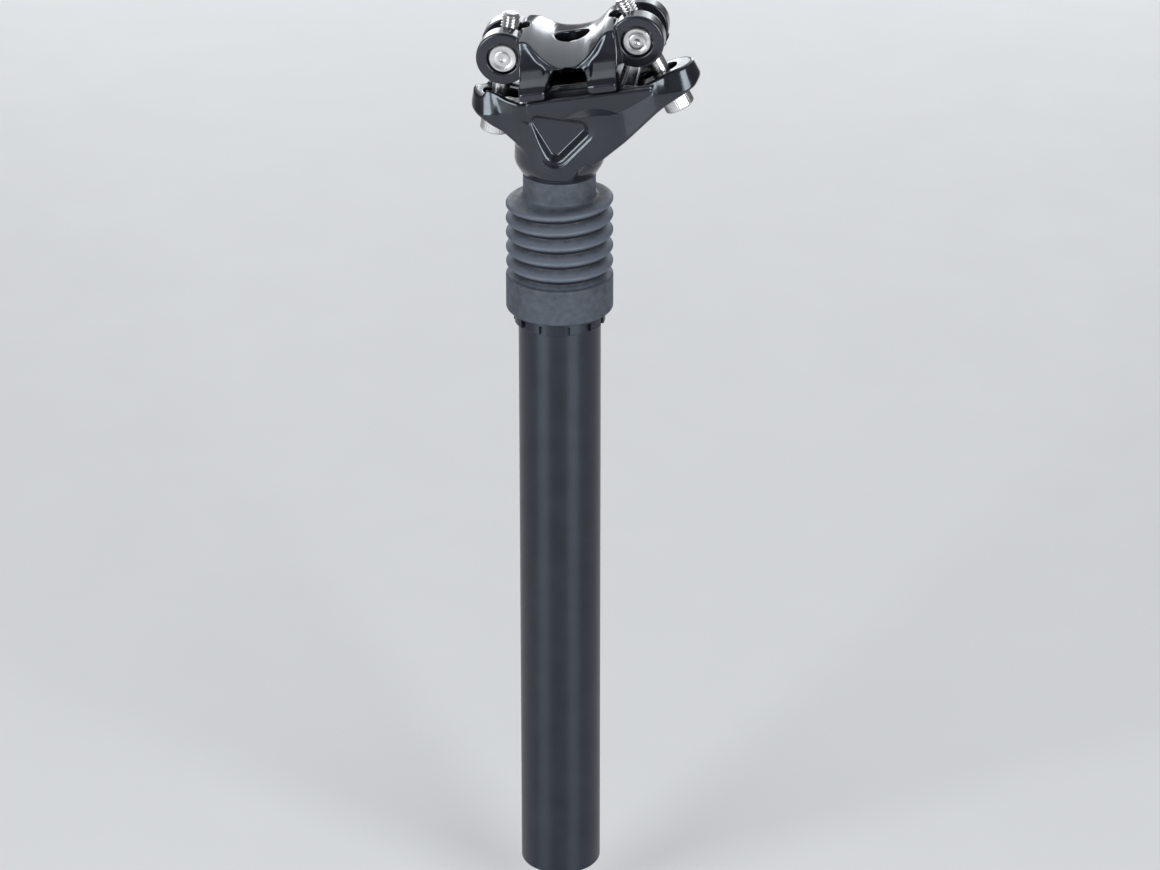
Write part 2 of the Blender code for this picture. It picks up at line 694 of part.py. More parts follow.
def lower_cradle(frame):
    """Rocker block in the middle, a wing with a rail groove each side."""
    first, last = math.degrees(math.asin(-0.0155 / ROCKER_RADIUS)), math.degrees(math.asin(0.0205 / ROCKER_RADIUS))
    core_outline = arc((0.0, 0.0), ROCKER_RADIUS, first - 90, last - 90, 24)
    core_outline += [(0.0210, CRADLE_TOP - 0.0010), (0.0190, CRADLE_TOP), (-0.0150, CRADLE_TOP)]
    half = CRADLE_CORE_HALF_WIDTH
    cradle = plate("lower_cradle", core_outline, -half, half, frame)
    wing_outline = [
        (-0.0142, CRADLE_TOP), (-0.0142, -0.0275), (-0.0036, -0.0308), (0.0033, -0.0324), (0.0110, -0.0325),
        (0.0153, -0.0312), (0.0263, -0.0265), (0.0272, -0.0255), (0.0270, -0.0246), (0.0262, CRADLE_TOP),
    ]
    for name, near, far in (("near", -CRADLE_HALF_WIDTH, -WING_INNER), ("far", WING_INNER, CRADLE_HALF_WIDTH)):
        join_to(cradle, plate(f"cradle_wing_{name}", wing_outline, near, far, frame))
    cut_from(cradle, *rail_cutters("cradle", frame))
    hollow = box("cradle_hollow", *CRADLE_HOLLOW, frame)
    notch = box("cradle_bolt_notch", *CRADLE_NOTCH, frame)
    cut_from(cradle, hollow, notch)
    return use_material(cradle, BLACK_PAINT)


def rail_cutters(name, frame):
    """Two rail-sized bars with flats top and bottom, which leave a flat land to clamp on."""
    turn = Matrix.Rotation(math.radians(90), 4, "Y") @ Matrix.Rotation(math.pi / RAIL_SIDES, 4, "Z")
    radius = RAIL_RADIUS / math.cos(math.pi / RAIL_SIDES)
    bars = []
    for side, y in (("near", -RAIL_SPACING / 2), ("far", RAIL_SPACING / 2)):
        place = frame @ Matrix.Translation((0.0, y, RAIL_Z)) @ turn
        bars.append(cylinder(f"{name}_rail_{side}", radius, -0.0400, 0.0400, place, RAIL_SIDES))
    return bars


def clamp_side_outline():
    """The upper clamp from the side, in the clamp's frame: a dip between two humps, and an arch between the feet."""
    half = [(0.0160, -0.0065), (0.0130, -0.0068), (0.0095, -0.0086), (0.0060, -0.0111), (0.0030, -0.0120)]
    top = half + [(0.0, -0.0122)] + [(-x, z) for x, z in reversed(half)]
    arch = [(-0.0070, CLAMP_FOOT), (-0.0066, -0.0200), (-0.0048, -0.0172), (-0.0020, -0.0162)]
    arch += [(-x, z) for x, z in reversed(arch)]
    return top + [(-0.0160, CLAMP_FOOT)] + arch + [(0.0160, CLAMP_FOOT)]


def clamp_end_outline():
    """The upper clamp seen along the rails, as (y, z): narrow on top and flared down to its feet."""
    half = [(0.0120, -0.0060), (0.0165, -0.0100), (0.0205, -0.0138), (0.0240, -0.0172), (CLAMP_HALF_WIDTH, -0.0208)]
    half.append((CLAMP_HALF_WIDTH, CLAMP_FOOT - GAP))
    return half + [(-y, z) for y, z in reversed(half)]


def upper_clamp(frame):
    half = CLAMP_HALF_WIDTH + GAP
    clamp = plate("upper_clamp", clamp_side_outline(), -half, half, frame)
    quarter = frame @ Matrix.Rotation(math.radians(90), 4, "Z")
    combine(clamp, plate("clamp_end_shape", clamp_end_outline(), -0.0170, 0.0170, quarter), "INTERSECT")
    ear_reach = NUT_SPACING / 2
    for side in (-1, 1):
        name = side_name(side)
        centre = (side * ear_reach, NUT_Z)
        join_to(clamp, cross_bar(f"{name}_ears", EAR_RADIUS, centre, EAR_OUTER, frame, ROUND))
    cut_from(clamp, box("clamp_hollow", *CLAMP_HOLLOW, frame))
    cut_from(clamp, *rail_cutters("clamp", frame))
    for side in (-1, 1):
        name = side_name(side)
        centre = (side * ear_reach, NUT_Z)
        cut_from(clamp, cross_bar(f"{name}_nut_bore", BARREL_RADIUS + GAP, centre, 0.0200, frame))
        near, far = sorted((side * EAR_SLOT_START, side * (ear_reach + EAR_RADIUS + 0.0030)))
        cut_from(clamp, box(f"{name}_ear_gap", (near, -EAR_SLOT, -0.0300), (far, EAR_SLOT, 0.0), frame))
    stretch = Matrix.Diagonal((WINDOW_STRETCH, 1.0, 1.0, 1.0))
    oval = cylinder("clamp_window", WINDOW_RADIUS, -0.0200, 0.0, frame @ stretch)
    cut_from(clamp, oval)
    return use_material(clamp, BLACK_PAINT)


def barrel_nut(side):
    name = side_name(side)
    frame = nut_frame(side)
    nut = cross_bar(f"barrel_nut_{name}", BARREL_RADIUS, (0.0, 0.0), BARREL_HALF_LENGTH, frame)
    use_material(nut, BRIGHT_STEEL)
    cut_from(nut, cylinder(f"barrel_thread_{name}", THREAD_HOLE, -0.0080, 0.0080, frame))
    return nut


def clamp_bolt(side):
    """A socket-head bolt with its origin on the washer's swivel axis and its head below."""
    name = side_name(side)
    under_head = SWIVEL_DROP - BOLT_SEAT
    tip = SWIVEL_DROP + BOLT_TIP
    low = under_head - HEAD_HEIGHT
    edge = 0.0005
    profile = [
        (0.0, tip),
        (BOLT_RADIUS - edge, tip),
        (BOLT_RADIUS, tip - edge),
        (BOLT_RADIUS, under_head),
        (HEAD_RADIUS, under_head),
        (HEAD_RADIUS, low + edge),
        (HEAD_RADIUS - edge, low),
        (0.0, low),
    ]
    frame = swivel_frame(side)
    bolt = use_material(turned(f"clamp_bolt_{name}", profile, SMALL_ROUND, False, frame), BRIGHT_STEEL)
    corner = BOLT_HEX / math.sqrt(3)
    cut_from(bolt, cylinder(f"bolt_hex_{name}", corner, low - GAP, low + BOLT_HEX_DEPTH, frame, 6))
    return bolt


def bolt_washer(side):
    """Half-round washer: a flat on the bolt head, a curved back in the arm's seat."""
    name = side_name(side)
    flat = SWIVEL_DROP - BOLT_SEAT + GAP
    start = math.degrees(math.asin(flat / WASHER_RADIUS))
    outline = arc((0.0, 0.0), WASHER_RADIUS, start, 180 - start, 12)
    half = WASHER_HALF_WIDTH
    frame = swivel_frame(side)
    washer = plate(f"bolt_washer_{name}", outline, -half, half, frame)
    cut_from(washer, cylinder(f"washer_hole_{name}", WASHER_HOLE, 0.0, 0.0100, frame))
    return use_material(washer, BRIGHT_STEEL)


def fixed_pieces():
    outer_tube()
    top_cap_nut()
    upper_guide_bushing()
    wiper_seal()
    anti_rotation_keys()
    bellows_boot()
    main_spring()


def preload_pieces():
    pivot = new_pivot("preload_axis", Matrix.Identity(4))
    bpy.context.view_layer.update()
    for item in (lower_spring_seat(), elastomer_core(), preload_plug()):
        hang_on(item, pivot)


def sliding_pieces(frame):
    pivot = new_pivot("travel_axis", Matrix.Identity(4))
    bpy.context.view_layer.update()
    pieces = [stanchion_tube(), lower_guide_bushing(), retaining_ring(), top_out_bumper(), upper_spring_seat()]
    pieces.append(head_forging(frame))
    for item in pieces:
        hang_on(item, pivot)


def clamp_pieces(frame):
    """Everything that tilts with the saddle, and the bolts that swing as it does."""
    pivot = new_pivot("tilt_axis", frame)
    bpy.context.view_layer.update()
    for item in (lower_cradle(frame), upper_clamp(frame)):
        hang_on(item, pivot)
    for side in (-1, 1):
        hang_on(barrel_nut(side), pivot)
        swing = new_pivot(f"{side_name(side)}_bolt_axis", swivel_frame(side))
        bpy.context.view_layer.update()
        for item in (clamp_bolt(side), bolt_washer(side)):
            hang_on(item, swing)


clear_scene()
parts = new_collection("suspension_seatpost")
cutters = new_collection("cutters")
fixed_pieces()
preload_pieces()
sliding_pieces(clamp_frame())
clamp_pieces(clamp_frame())
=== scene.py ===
"""Looks of the suspension seatpost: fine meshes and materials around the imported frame, in metres.

Forged pieces are smooth distance fields in millimetres, meshed on a grid. Turned ones are lofts of rings.
"""

import json
import math

import bmesh
import bpy
import numpy as np
from mathutils import Matrix, Vector


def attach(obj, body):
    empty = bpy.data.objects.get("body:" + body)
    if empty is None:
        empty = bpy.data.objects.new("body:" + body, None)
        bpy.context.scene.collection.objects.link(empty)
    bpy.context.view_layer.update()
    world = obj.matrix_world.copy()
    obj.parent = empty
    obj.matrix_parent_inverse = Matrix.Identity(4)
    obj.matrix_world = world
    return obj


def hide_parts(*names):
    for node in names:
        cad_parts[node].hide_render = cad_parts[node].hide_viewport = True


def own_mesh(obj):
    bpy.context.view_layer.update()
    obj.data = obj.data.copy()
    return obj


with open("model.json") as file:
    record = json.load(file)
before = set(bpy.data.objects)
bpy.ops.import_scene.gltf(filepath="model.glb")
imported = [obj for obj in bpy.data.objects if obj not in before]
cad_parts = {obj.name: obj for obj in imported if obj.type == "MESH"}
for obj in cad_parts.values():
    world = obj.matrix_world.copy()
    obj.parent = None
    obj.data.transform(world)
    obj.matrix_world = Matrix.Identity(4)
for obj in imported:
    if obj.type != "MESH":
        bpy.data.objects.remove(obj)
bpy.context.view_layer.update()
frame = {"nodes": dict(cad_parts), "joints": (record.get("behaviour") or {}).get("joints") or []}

MM = 0.001
CELL = 0.31  # mm, grid of the forged pieces
FINE_CELL = 0.16  # mm, grid of the half-round washers

# Driving sizes in millimetres, as in the design
TUBE_RADIUS = 13.6
TUBE_BORE = 11.3
TUBE_NECK = 12.6
STANCHION_RADIUS = 10.0
HEAD_HALF_WIDTH = 15.0
POCKET_FLOOR = 12.3
POCKET_RIM = 14.4  # where the pocket's sloping wall meets the thin ledge round it
COLLAR_RADIUS = 14.6
COLLAR_FOOT = 256.9
SOCKET_TOP = 268.3
PIVOT_HEIGHT = 14.0  # of the tilt axis above the barrel nuts
ROCKER_RADIUS = 34.0
NUT_REACH = 21.9
NUT_RADIUS = 4.8
NUT_HALF_LENGTH = 9.8
EAR_RADIUS = 8.7
EAR_OUTER = 10.0
EAR_SLOT = 3.4
RAIL_OFFSET = 22.0
RAIL_DROP = 8.8
RAIL_RADIUS = 3.55
CLAMP_HALF_WIDTH = 27.0
BOLT_LEAN = math.radians(18.0)
SWIVEL_DROP = 26.3
WASHER_RADIUS = 6.9
WASHER_HALF_WIDTH = 5.0
BOLT_SEAT = 22.0
BOLT_TIP = 12.5
BOLT_HEAD_RADIUS = 5.0
BOLT_HEAD_HEIGHT = 6.3
THREAD_PITCH = 1.0
RUNNING_GAP = 0.3

JOINTS = {joint["name"]: joint for joint in frame["joints"]}


# --- Places taken from the frame ---


def clamp_matrix():
    """Origin midway between the barrel nuts, X along the rails, Z along the clamp's normal."""
    front = Vector(JOINTS["front_nut_turn"]["pos_m"])
    rear = Vector(JOINTS["rear_nut_turn"]["pos_m"])
    along = (rear - front).normalized()
    normal = along.cross(Vector((0, 1, 0)))
    matrix = Matrix((along, Vector((0, 1, 0)), normal)).transposed().to_4x4()
    matrix.translation = (front + rear) / 2
    return matrix


CLAMP = clamp_matrix()


def bolt_matrix(side):
    """Origin on the washer's swivel axis, Z up along the bolt. side is -1 in front and 1 behind."""
    nut = Matrix.Translation((side * NUT_REACH * MM, 0, 0)) @ Matrix.Rotation(-side * BOLT_LEAN, 4, "Y")
    return CLAMP @ nut @ Matrix.Translation((0, 0, -SWIVEL_DROP * MM))


def side_name(side):
    return "front" if side < 0 else "rear"


# --- Outlines and distance fields, in millimetres ---


def fillet(corners, step=9):
    """Closed outline through (p, q, radius) corners, each rounded by an arc with points step degrees apart."""
    points = []
    count = len(corners)
    for index, (p, q, radius) in enumerate(corners):
        here = np.array((p, q), float)
        back = np.array(corners[index - 1][:2], float) - here
        ahead = np.array(corners[(index + 1) % count][:2], float) - here
        room = 0.48 * min(np.linalg.norm(back), np.linalg.norm(ahead))
        back, ahead = back / np.linalg.norm(back), ahead / np.linalg.norm(ahead)
        half = math.acos(max(-1.0, min(1.0, float(back @ ahead)))) / 2
        if radius <= 0 or half > math.radians(88):
            points.append(here)
            continue
        reach = min(radius / math.tan(half), room)
        radius = reach * math.tan(half)
        bisector = (back + ahead) / np.linalg.norm(back + ahead)
        centre = here + bisector * radius / math.sin(half)
        first, last = here + back * reach - centre, here + ahead * reach - centre
        turn = math.pi - 2 * half
        pieces = max(1, math.ceil(math.degrees(turn) / step))
        sign = 1.0 if first[0] * last[1] - first[1] * last[0] > 0 else -1.0
        for piece in range(pieces + 1):
            angle = sign * turn * piece / pieces
            cos, sin = math.cos(angle), math.sin(angle)
            points.append(centre + (first[0] * cos - first[1] * sin, first[0] * sin + first[1] * cos))
    return np.array(points)


def arc(centre, radius, start, end, count):
    """Outline corners on an arc, from one angle in degrees to another."""
    angles = [math.radians(start + (end - start) * step / count) for step in range(count + 1)]
    return [(centre + radius * math.cos(angle), radius * math.sin(angle), 0) for angle in angles]


def outline_distance(points, p, q):
    """Signed distance to a closed outline, negative inside."""
    nearest = np.full(np.broadcast(p, q).shape, 1e9)
    inside = np.zeros(nearest.shape, bool)
    for start, end in zip(points, np.roll(points, -1, axis=0)):
        edge = end - start
        from_p, from_q = p - start[0], q - start[1]
        share = np.clip((from_p * edge[0] + from_q * edge[1]) / (edge @ edge), 0, 1)
        nearest = np.minimum(nearest, (from_p - share * edge[0]) ** 2 + (from_q - share * edge[1]) ** 2)
        above, below = q >= start[1], q < end[1]
        left = edge[0] * from_q > edge[1] * from_p
        inside ^= (above & below & left) | (~above & ~below & ~left)
    distance = np.sqrt(nearest)
    return np.where(inside, -distance, distance)


def both(first, second, radius=0.0):
    """Where both fields are solid, with the meeting edge rounded."""
    if radius <= 0:
        return np.maximum(first, second)
    a, b = first + radius, second + radius
    return np.minimum(np.maximum(a, b), 0) + np.hypot(np.maximum(a, 0), np.maximum(b, 0)) - radius


def joined(first, second, blend):
    """Either field, with a soft fillet where they meet."""
    share = np.clip(0.5 + 0.5 * (second - first) / blend, 0, 1)
    return second + (first - second) * share - blend * share * (1 - share)


def cut(solid, tool, blend=0.0):
    """The solid without the tool, with the edge softened."""
    if blend <= 0:
        return np.maximum(solid, -tool)
    return -joined(-solid, tool, blend)


def block(values, halves, centre, radius=0.0):
    """A box about a centre, with rounded edges."""
    sides = zip(values, centre, halves)
    reach = [np.abs(value - middle) - (half - radius) for value, middle, half in sides]
    outside = sum(np.maximum(part, 0) ** 2 for part in reach)
    inside = reach[0]
    for part in reach[1:]:
        inside = np.maximum(inside, part)
    return np.sqrt(outside) + np.minimum(inside, 0) - radius


def net_of(field, low, cell):
    """Surface net of a field on a grid: points in millimetres and quads, pulled onto the zero level."""
    solid = field < 0
    shape = np.array(field.shape)
    corners = [(i, j, k) for i in (0, 1) for j in (0, 1) for k in (0, 1)]
    filled = np.zeros(shape - 1, np.int8)
    for i, j, k in corners:
        filled += solid[i:shape[0] - 1 + i, j:shape[1] - 1 + j, k:shape[2] - 1 + k]
    cells = np.argwhere((filled > 0) & (filled < 8))
    number = np.full(shape - 1, -1, np.int32)
    number[tuple(cells.T)] = np.arange(len(cells))
    total = np.zeros((len(cells), 3))
    hits = np.zeros(len(cells))
    for a in corners:
        for axis in range(3):
            if a[axis]:
                continue
            b = list(a)
            b[axis] = 1
            first = field[tuple((cells + a).T)]
            second = field[tuple((cells + b).T)]
            crossed = (first < 0) != (second < 0)
            spot = np.array(a) + np.zeros((len(cells), 3))
            gap = np.where(crossed, first - second, 1.0)
            spot[:, axis] = np.where(crossed, first / gap, 0.0)
            total += spot * crossed[:, None]
            hits += crossed
    points = cells + total / hits[:, None]
    points = pulled(points, field, 3)
    quads = []
    for axis in range(3):
        near = [slice(None)] * 3
        far = [slice(None)] * 3
        near[axis], far[axis] = slice(0, -1), slice(1, None)
        first, second = solid[tuple(near)], solid[tuple(far)]
        side, other = [n for n in range(3) if n != axis]
        edges = np.argwhere(first != second)
        edges = edges[(edges[:, side] > 0) & (edges[:, other] > 0)]
        edges = edges[(edges[:, side] < shape[side] - 1) & (edges[:, other] < shape[other] - 1)]
        rounds = []
        for back_side, back_other in ((1, 1), (0, 1), (0, 0), (1, 0)):
            spot = edges.copy()
            spot[:, side] -= back_side
            spot[:, other] -= back_other
            rounds.append(number[tuple(spot.T)])
        ring = np.stack(rounds, axis=1)
        outward = first[tuple(edges.T)]
        if axis == 1:
            outward = ~outward
        ring[~outward] = ring[~outward][:, ::-1]
        quads.append(ring)
    return points * cell + low, np.concatenate(quads)


def sampled(grid, points):
    """Trilinear reading of a grid at points in cells."""
    base = np.clip(np.floor(points).astype(int), 0, np.array(grid.shape) - 2)
    part = points - base
    value = 0.0
    for i in (0, 1):
        for j in (0, 1):
            for k in (0, 1):
                weight = np.abs(1 - i - part[:, 0]) * np.abs(1 - j - part[:, 1])
                weight = weight * np.abs(1 - k - part[:, 2])
                value = value + weight * grid[base[:, 0] + i, base[:, 1] + j, base[:, 2] + k]
    return value


def pulled(points, field, times):
    slopes = np.gradient(field)
    for _ in range(times):
        value = sampled(field, points)
        slope = np.stack([sampled(part, points) for part in slopes], axis=1)
        steep = np.maximum((slope ** 2).sum(1), 1e-6)
        move = slope * (value / steep)[:, None]
        points = points - np.clip(move, -0.5, 0.5)
    return points


def forged(name, field, low, high, matrix, cell=CELL):
    """A mesh of a field that is the same on both sides of the plane y = 0."""
    axes = [np.arange(a, b + cell, cell) for a, b in zip(low, high)]
    axes[1] = np.arange(0.0, high[1] + cell, cell)
    x, y, z = axes[0][:, None, None], axes[1][None, :, None], axes[2][None, None, :]
    values = field(x, y, z).astype(np.float32)
    values = np.concatenate([values[:, :0:-1], values], axis=1)
    points, quads = net_of(values, np.array((low[0], -axes[1][-1], low[2])), cell)
    mesh = bpy.data.meshes.new(name)
    mesh.from_pydata((points * MM).tolist(), [], quads.tolist())
    mesh.transform(matrix)
    mesh.shade_smooth()
    item = bpy.data.objects.new(name, mesh)
    bpy.context.scene.collection.objects.link(item)
    return item


# --- Forged head, cradle and clamp ---

HEAD_BODY = fillet([
    (-6.6, 258.6, 3), (4.9, 258.6, 3), (8.2, 263.2, 6), (16.2, 268.8, 6), (30.0, 280.0, 0),
    (28.0, 290.0, 0), (-6.0, 286.5, 0), (-17.5, 279.8, 0), (-17.0, 274.2, 8), (-12.6, 269.8, 6),
    (-8.6, 266.0, 5),
])
HEAD_ARMS = fillet([
    (-37.4, -12.4, 3.4), (-37.0, -16.8, 3.4), (-26.8, -24.9, 6), (-22.5, -30.0, 0), (1.0, -38.5, 0),
    (4.5, -37.0, 0), (26.9, -23.3, 14), (37.2, -18.7, 3), (39.4, -16.5, 1.2), (38.2, -11.2, 1.2),
    (32.0, -12.2, 5), (21.8, -14.7, 20), (0.0, -21.0, 0), (-16.0, -17.0, 6), (-23.0, -14.4, 14),
    (-29.5, -10.4, 9), (-34.4, -9.4, 3.6),
])
HEAD_PLAN = fillet(
    [(-37.3, -12.0, 0)] + arc(-28.3, 9.0, 180, 80, 12)
    + [(-21.0, 9.6, 8), (-13.0, 15.0, 8), (13.0, 15.0, 14), (24.0, 9.6, 10)]
    + arc(31.2, 8.4, 76, 0, 10) + [(39.6, -12.0, 0)]
)
FRONT_DISH = fillet([
    (-34.2, -11.6, 2.5), (-31.0, -13.2, 4), (-25.6, -14.0, 8), (-16.0, -17.2, 0), (-16.0, 0.0, 0),
    (-34.8, 0.0, 0),
])
COLLAR = fillet([
    (-5.0, COLLAR_FOOT, 0), (12.2, COLLAR_FOOT, 2.0), (COLLAR_RADIUS, 261.0, 5.0),
    (COLLAR_RADIUS, 277.0, 0), (-5.0, 277.0, 0),
])
POCKET = fillet([(-8.3, 279.9, 1.3), (11.0, 278.0, 1.4), (0.1, 266.2, 1.5)])
ARM_LEAN = 0.33  # how far the arms' ends lean inwards as they rise
ARM_ROOT = 19.0  # where the lean begins, in the clamp's frame
ARM_BLEND = 9.0
ARM_LOWEST = -18.7


def clamp_place(x, z):
    """World x and z in the clamp's frame."""
    across, up = x - CLAMP.translation.x / MM, z - CLAMP.translation.z / MM
    cos, sin = CLAMP[0][0], CLAMP[2][0]
    return across * cos + up * sin, up * cos - across * sin


def bolt_place(u, w, side):
    """Clamp coordinates in the frame of one bolt's swivel axis."""
    across = u - side * NUT_REACH
    cos, sin = math.cos(BOLT_LEAN), side * math.sin(BOLT_LEAN)
    return across * cos + w * sin, w * cos - across * sin + SWIVEL_DROP


def head_field(x, y, z):
    u, w = clamp_place(x, z)
    side = np.minimum(outline_distance(HEAD_BODY, x, z), outline_distance(HEAD_ARMS, u, w))
    solid = both(side, y - HEAD_HALF_WIDTH, 1.3)
    on_an_arm = np.clip((np.abs(u) - ARM_ROOT) / ARM_BLEND, 0, 1) ** 2
    lean = ARM_LEAN * on_an_arm * np.clip(w - ARM_LOWEST, 0, 9)
    plan = outline_distance(HEAD_PLAN, u, y) + lean
    solid = both(solid, plan, 0.9)
    collar = outline_distance(COLLAR, np.hypot(x, y), z)
    solid = joined(solid, collar, 1.8)
    dish = both(outline_distance(FRONT_DISH, u, w), y - 5.6, 0.8)
    solid = cut(solid, dish, 1.4)
    seat = np.hypot(u, w - PIVOT_HEIGHT) - ROCKER_RADIUS - RUNNING_GAP
    solid = cut(solid, seat, 0.7)
    floor = outline_distance(POCKET, x, z)
    ledge = both(floor - 3.2, POCKET_RIM - y)
    wall = both((floor - 0.95 * (y - POCKET_FLOOR)) / 1.38, POCKET_FLOOR - y)
    solid = cut(cut(solid, ledge, 0.65), wall, 0.5)
    for end in (-1, 1):
        across, up = bolt_place(u, w, end)
        half = WASHER_HALF_WIDTH + 0.6
        seat = both(np.hypot(across, up) - WASHER_RADIUS - RUNNING_GAP, y - half)
        below = block((across, y, up), (WASHER_RADIUS + RUNNING_GAP, half, 12), (0, 0, -12))
        slot = block((across, y, up), (6.7, 3.5, 12), (-end * 1.3, 0, 10), 3.3)
        solid = cut(cut(solid, np.minimum(seat, below), 0.4), slot, 0.5)
    socket = both(np.hypot(x, y) - STANCHION_RADIUS - RUNNING_GAP, z - SOCKET_TOP)
    return cut(solid, socket, 0.3)


CRADLE_WING = fillet([
    (-14.2, -9.9, 0.8), (-14.2, -13.3, 1.2), (-3.6, -16.8, 6), (3.3, -18.5, 4), (11.0, -18.5, 3),
    (15.3, -17.2, 3), (25.9, -12.7, 1.4), (27.1, -11.2, 1.0), (26.2, -9.9, 0.7),
])
CRADLE_CORE = fillet([
    (-15.6, -24.0, 0), (20.0, -24.0, 0), (20.0, -11.4, 0.8), (18.2, -9.9, 1.5), (-14.6, -9.9, 0.8),
    (-15.6, -12.0, 0.8),
])


def cradle_field(u, v, w):
    core = both(outline_distance(CRADLE_CORE, u, w), v - 15.6, 0.7)
    core = both(core, np.hypot(u, w - PIVOT_HEIGHT) - ROCKER_RADIUS, 0.5)
    wing = both(outline_distance(CRADLE_WING, u, w), np.abs(v - 21.2) - 5.75, 0.6)
    solid = joined(core, wing, 0.8)
    groove = np.hypot(v - RAIL_OFFSET, w + RAIL_DROP) - RAIL_RADIUS
    solid = cut(solid, groove, 0.4)
    depth = CLAMP_HALF_WIDTH - v
    scoop = (np.hypot(u - 6.0, w + 30.4) - 16.4 + 1.1 * depth) / 1.49
    solid = cut(solid, scoop, 0.35)
    step_start = 16.5  # where the rear end's inner top drops away
    step = both(both(step_start - u, v - 19.0), -11.7 - w - 0.16 * (u - step_start))
    solid = cut(solid, step, 0.9)
    hollow = block((u, v, w), (11.5, 13.0, 5.0), (1.5, 0, -11.0), 2.0)
    return cut(solid, hollow, 0.6)


CLAMP_SIDE = fillet([
    (-16.0, -9.5, 0.5), (-16.0, 7.4, 1.4), (-12.6, 7.2, 5), (-6.2, 2.3, 9), (0.0, 1.7, 14), (6.2, 2.3, 9),
    (12.6, 7.2, 5), (16.0, 7.4, 1.4), (16.0, -9.5, 0.5),
])
CLAMP_PLAN = fillet([
    (-22.0, -8.0, 0), (-22.0, 11.2, 0), (-14.5, 11.8, 5), (-9.4, 16.6, 8), (-3.6, 20.4, 5),
    (-1.0, 23.6, 1.8), (1.4, 23.6, 1.8), (4.6, 20.0, 5), (9.4, 16.6, 8), (14.5, 11.8, 5),
    (22.0, 11.2, 0), (22.0, -8.0, 0),
])
CLAMP_TENT = fillet([
    (-10.0, 20.0, 0), (11.2, 20.0, 0), (12.8, 5.0, 14), (17.0, -1.4, 8), (21.6, -4.0, 5),
    (25.4, -5.3, 3), (26.95, -7.0, 0.8), (26.95, -9.5, 0.4), (-10.0, -9.5, 0),
])
CLAMP_ARCH = fillet([
    (-7.6, -14.0, 0), (-7.3, -6.4, 2.5), (-4.6, -2.5, 3.5), (0.0, -1.9, 8), (4.2, -2.5, 3.5),
    (6.4, -6.0, 2.5), (6.7, -14.0, 0),
])


def clamp_field(u, v, w):
    crown = w + v ** 2 / 118
    under_top = outline_distance(CLAMP_SIDE, u, crown)
    tent = outline_distance(CLAMP_TENT, v, w)
    tongue_slope = (w + 2.4 + 1.1 * (v - 21.8)) / 1.49
    plate = both(outline_distance(CLAMP_PLAN, u, v), -6.0 - w, 0.5)
    plate = both(plate, tongue_slope, 1.0)
    front = both(tent, np.abs(u + 11.9) - 4.1, 1.2)
    rear = both(tent, np.abs(u - 11.7) - 4.3, 1.2)
    web = both(tent + 1.3, np.abs(u) - 14.0, 0.5)
    rim = both(tent + 0.6, np.abs(outline_distance(CLAMP_ARCH, u, w) - 0.4) - 1.0, 0.6)
    solid = joined(joined(np.minimum(front, rear), web, 1.6), plate, 0.7)
    solid = joined(solid, rim, 1.1)
    solid = both(solid, under_top, 0.5)
    ear = both(np.hypot(np.abs(u) - NUT_REACH, w) - EAR_RADIUS, v - EAR_OUTER, 0.7)
    solid = joined(solid, ear, 0.7)
    hollow = both(both(tent + 3.6, np.abs(u) - 11.6, 1.0), both(w + 3.6, v - 17.2), 1.0)
    solid = cut(solid, hollow, 0.5)
    solid = cut(solid, outline_distance(CLAMP_ARCH, u, w) + 0 * v, 0.35)
    solid = cut(solid, np.hypot(v - RAIL_OFFSET, w + RAIL_DROP) - RAIL_RADIUS, 0.3)
    slot = block((np.abs(u), v, w), (12.0, EAR_SLOT, 30.0), (25.0, 0, 0), EAR_SLOT - 0.05)
    solid = cut(solid, slot, 0.4)
    solid = cut(solid, np.hypot(np.abs(u) - NUT_REACH, w) - NUT_RADIUS - 0.35, 0.25)
    window = (np.hypot(u / 5.6, v / 5.0) - 1) * 5.0
    return cut(solid, both(window, -6 - w), 0.7)


# --- Turned and threaded pieces, in millimetres ---

SIDES = 144  # round a turned piece
SMALL_SIDES = 72


def add_object(name, points, faces, matrix, **values):
    """A smooth mesh object from points in millimetres, with named values on its points for the materials:
    run is the way along a turned profile, and the bellows' fold value goes from -1, painted shade down in a
    fold, to 1, a painted highlight on its crest."""
    mesh = bpy.data.meshes.new(name)
    mesh.from_pydata((np.asarray(points) * MM).tolist(), [], np.asarray(faces).tolist())
    for key, numbers in values.items():
        attribute = mesh.attributes.new(key, "FLOAT", "POINT")
        attribute.data.foreach_set("value", np.asarray(numbers, np.float32))
    shape = bmesh.new()
    shape.from_mesh(mesh)
    bmesh.ops.remove_doubles(shape, verts=shape.verts, dist=0.000002)
    bmesh.ops.dissolve_degenerate(shape, edges=shape.edges, dist=0.000001)
    bmesh.ops.recalc_face_normals(shape, faces=shape.faces)
    shape.to_mesh(mesh)
    shape.free()
    mesh.transform(matrix)
    mesh.shade_smooth()
    mesh.set_sharp_from_angle(angle=math.radians(38))
    item = bpy.data.objects.new(name, mesh)
    bpy.context.scene.collection.objects.link(item)
    item.modifiers.new("even_shading", "WEIGHTED_NORMAL").keep_sharp = True
    return item


def even_angles(sides):
    return np.arange(sides) * math.tau / sides


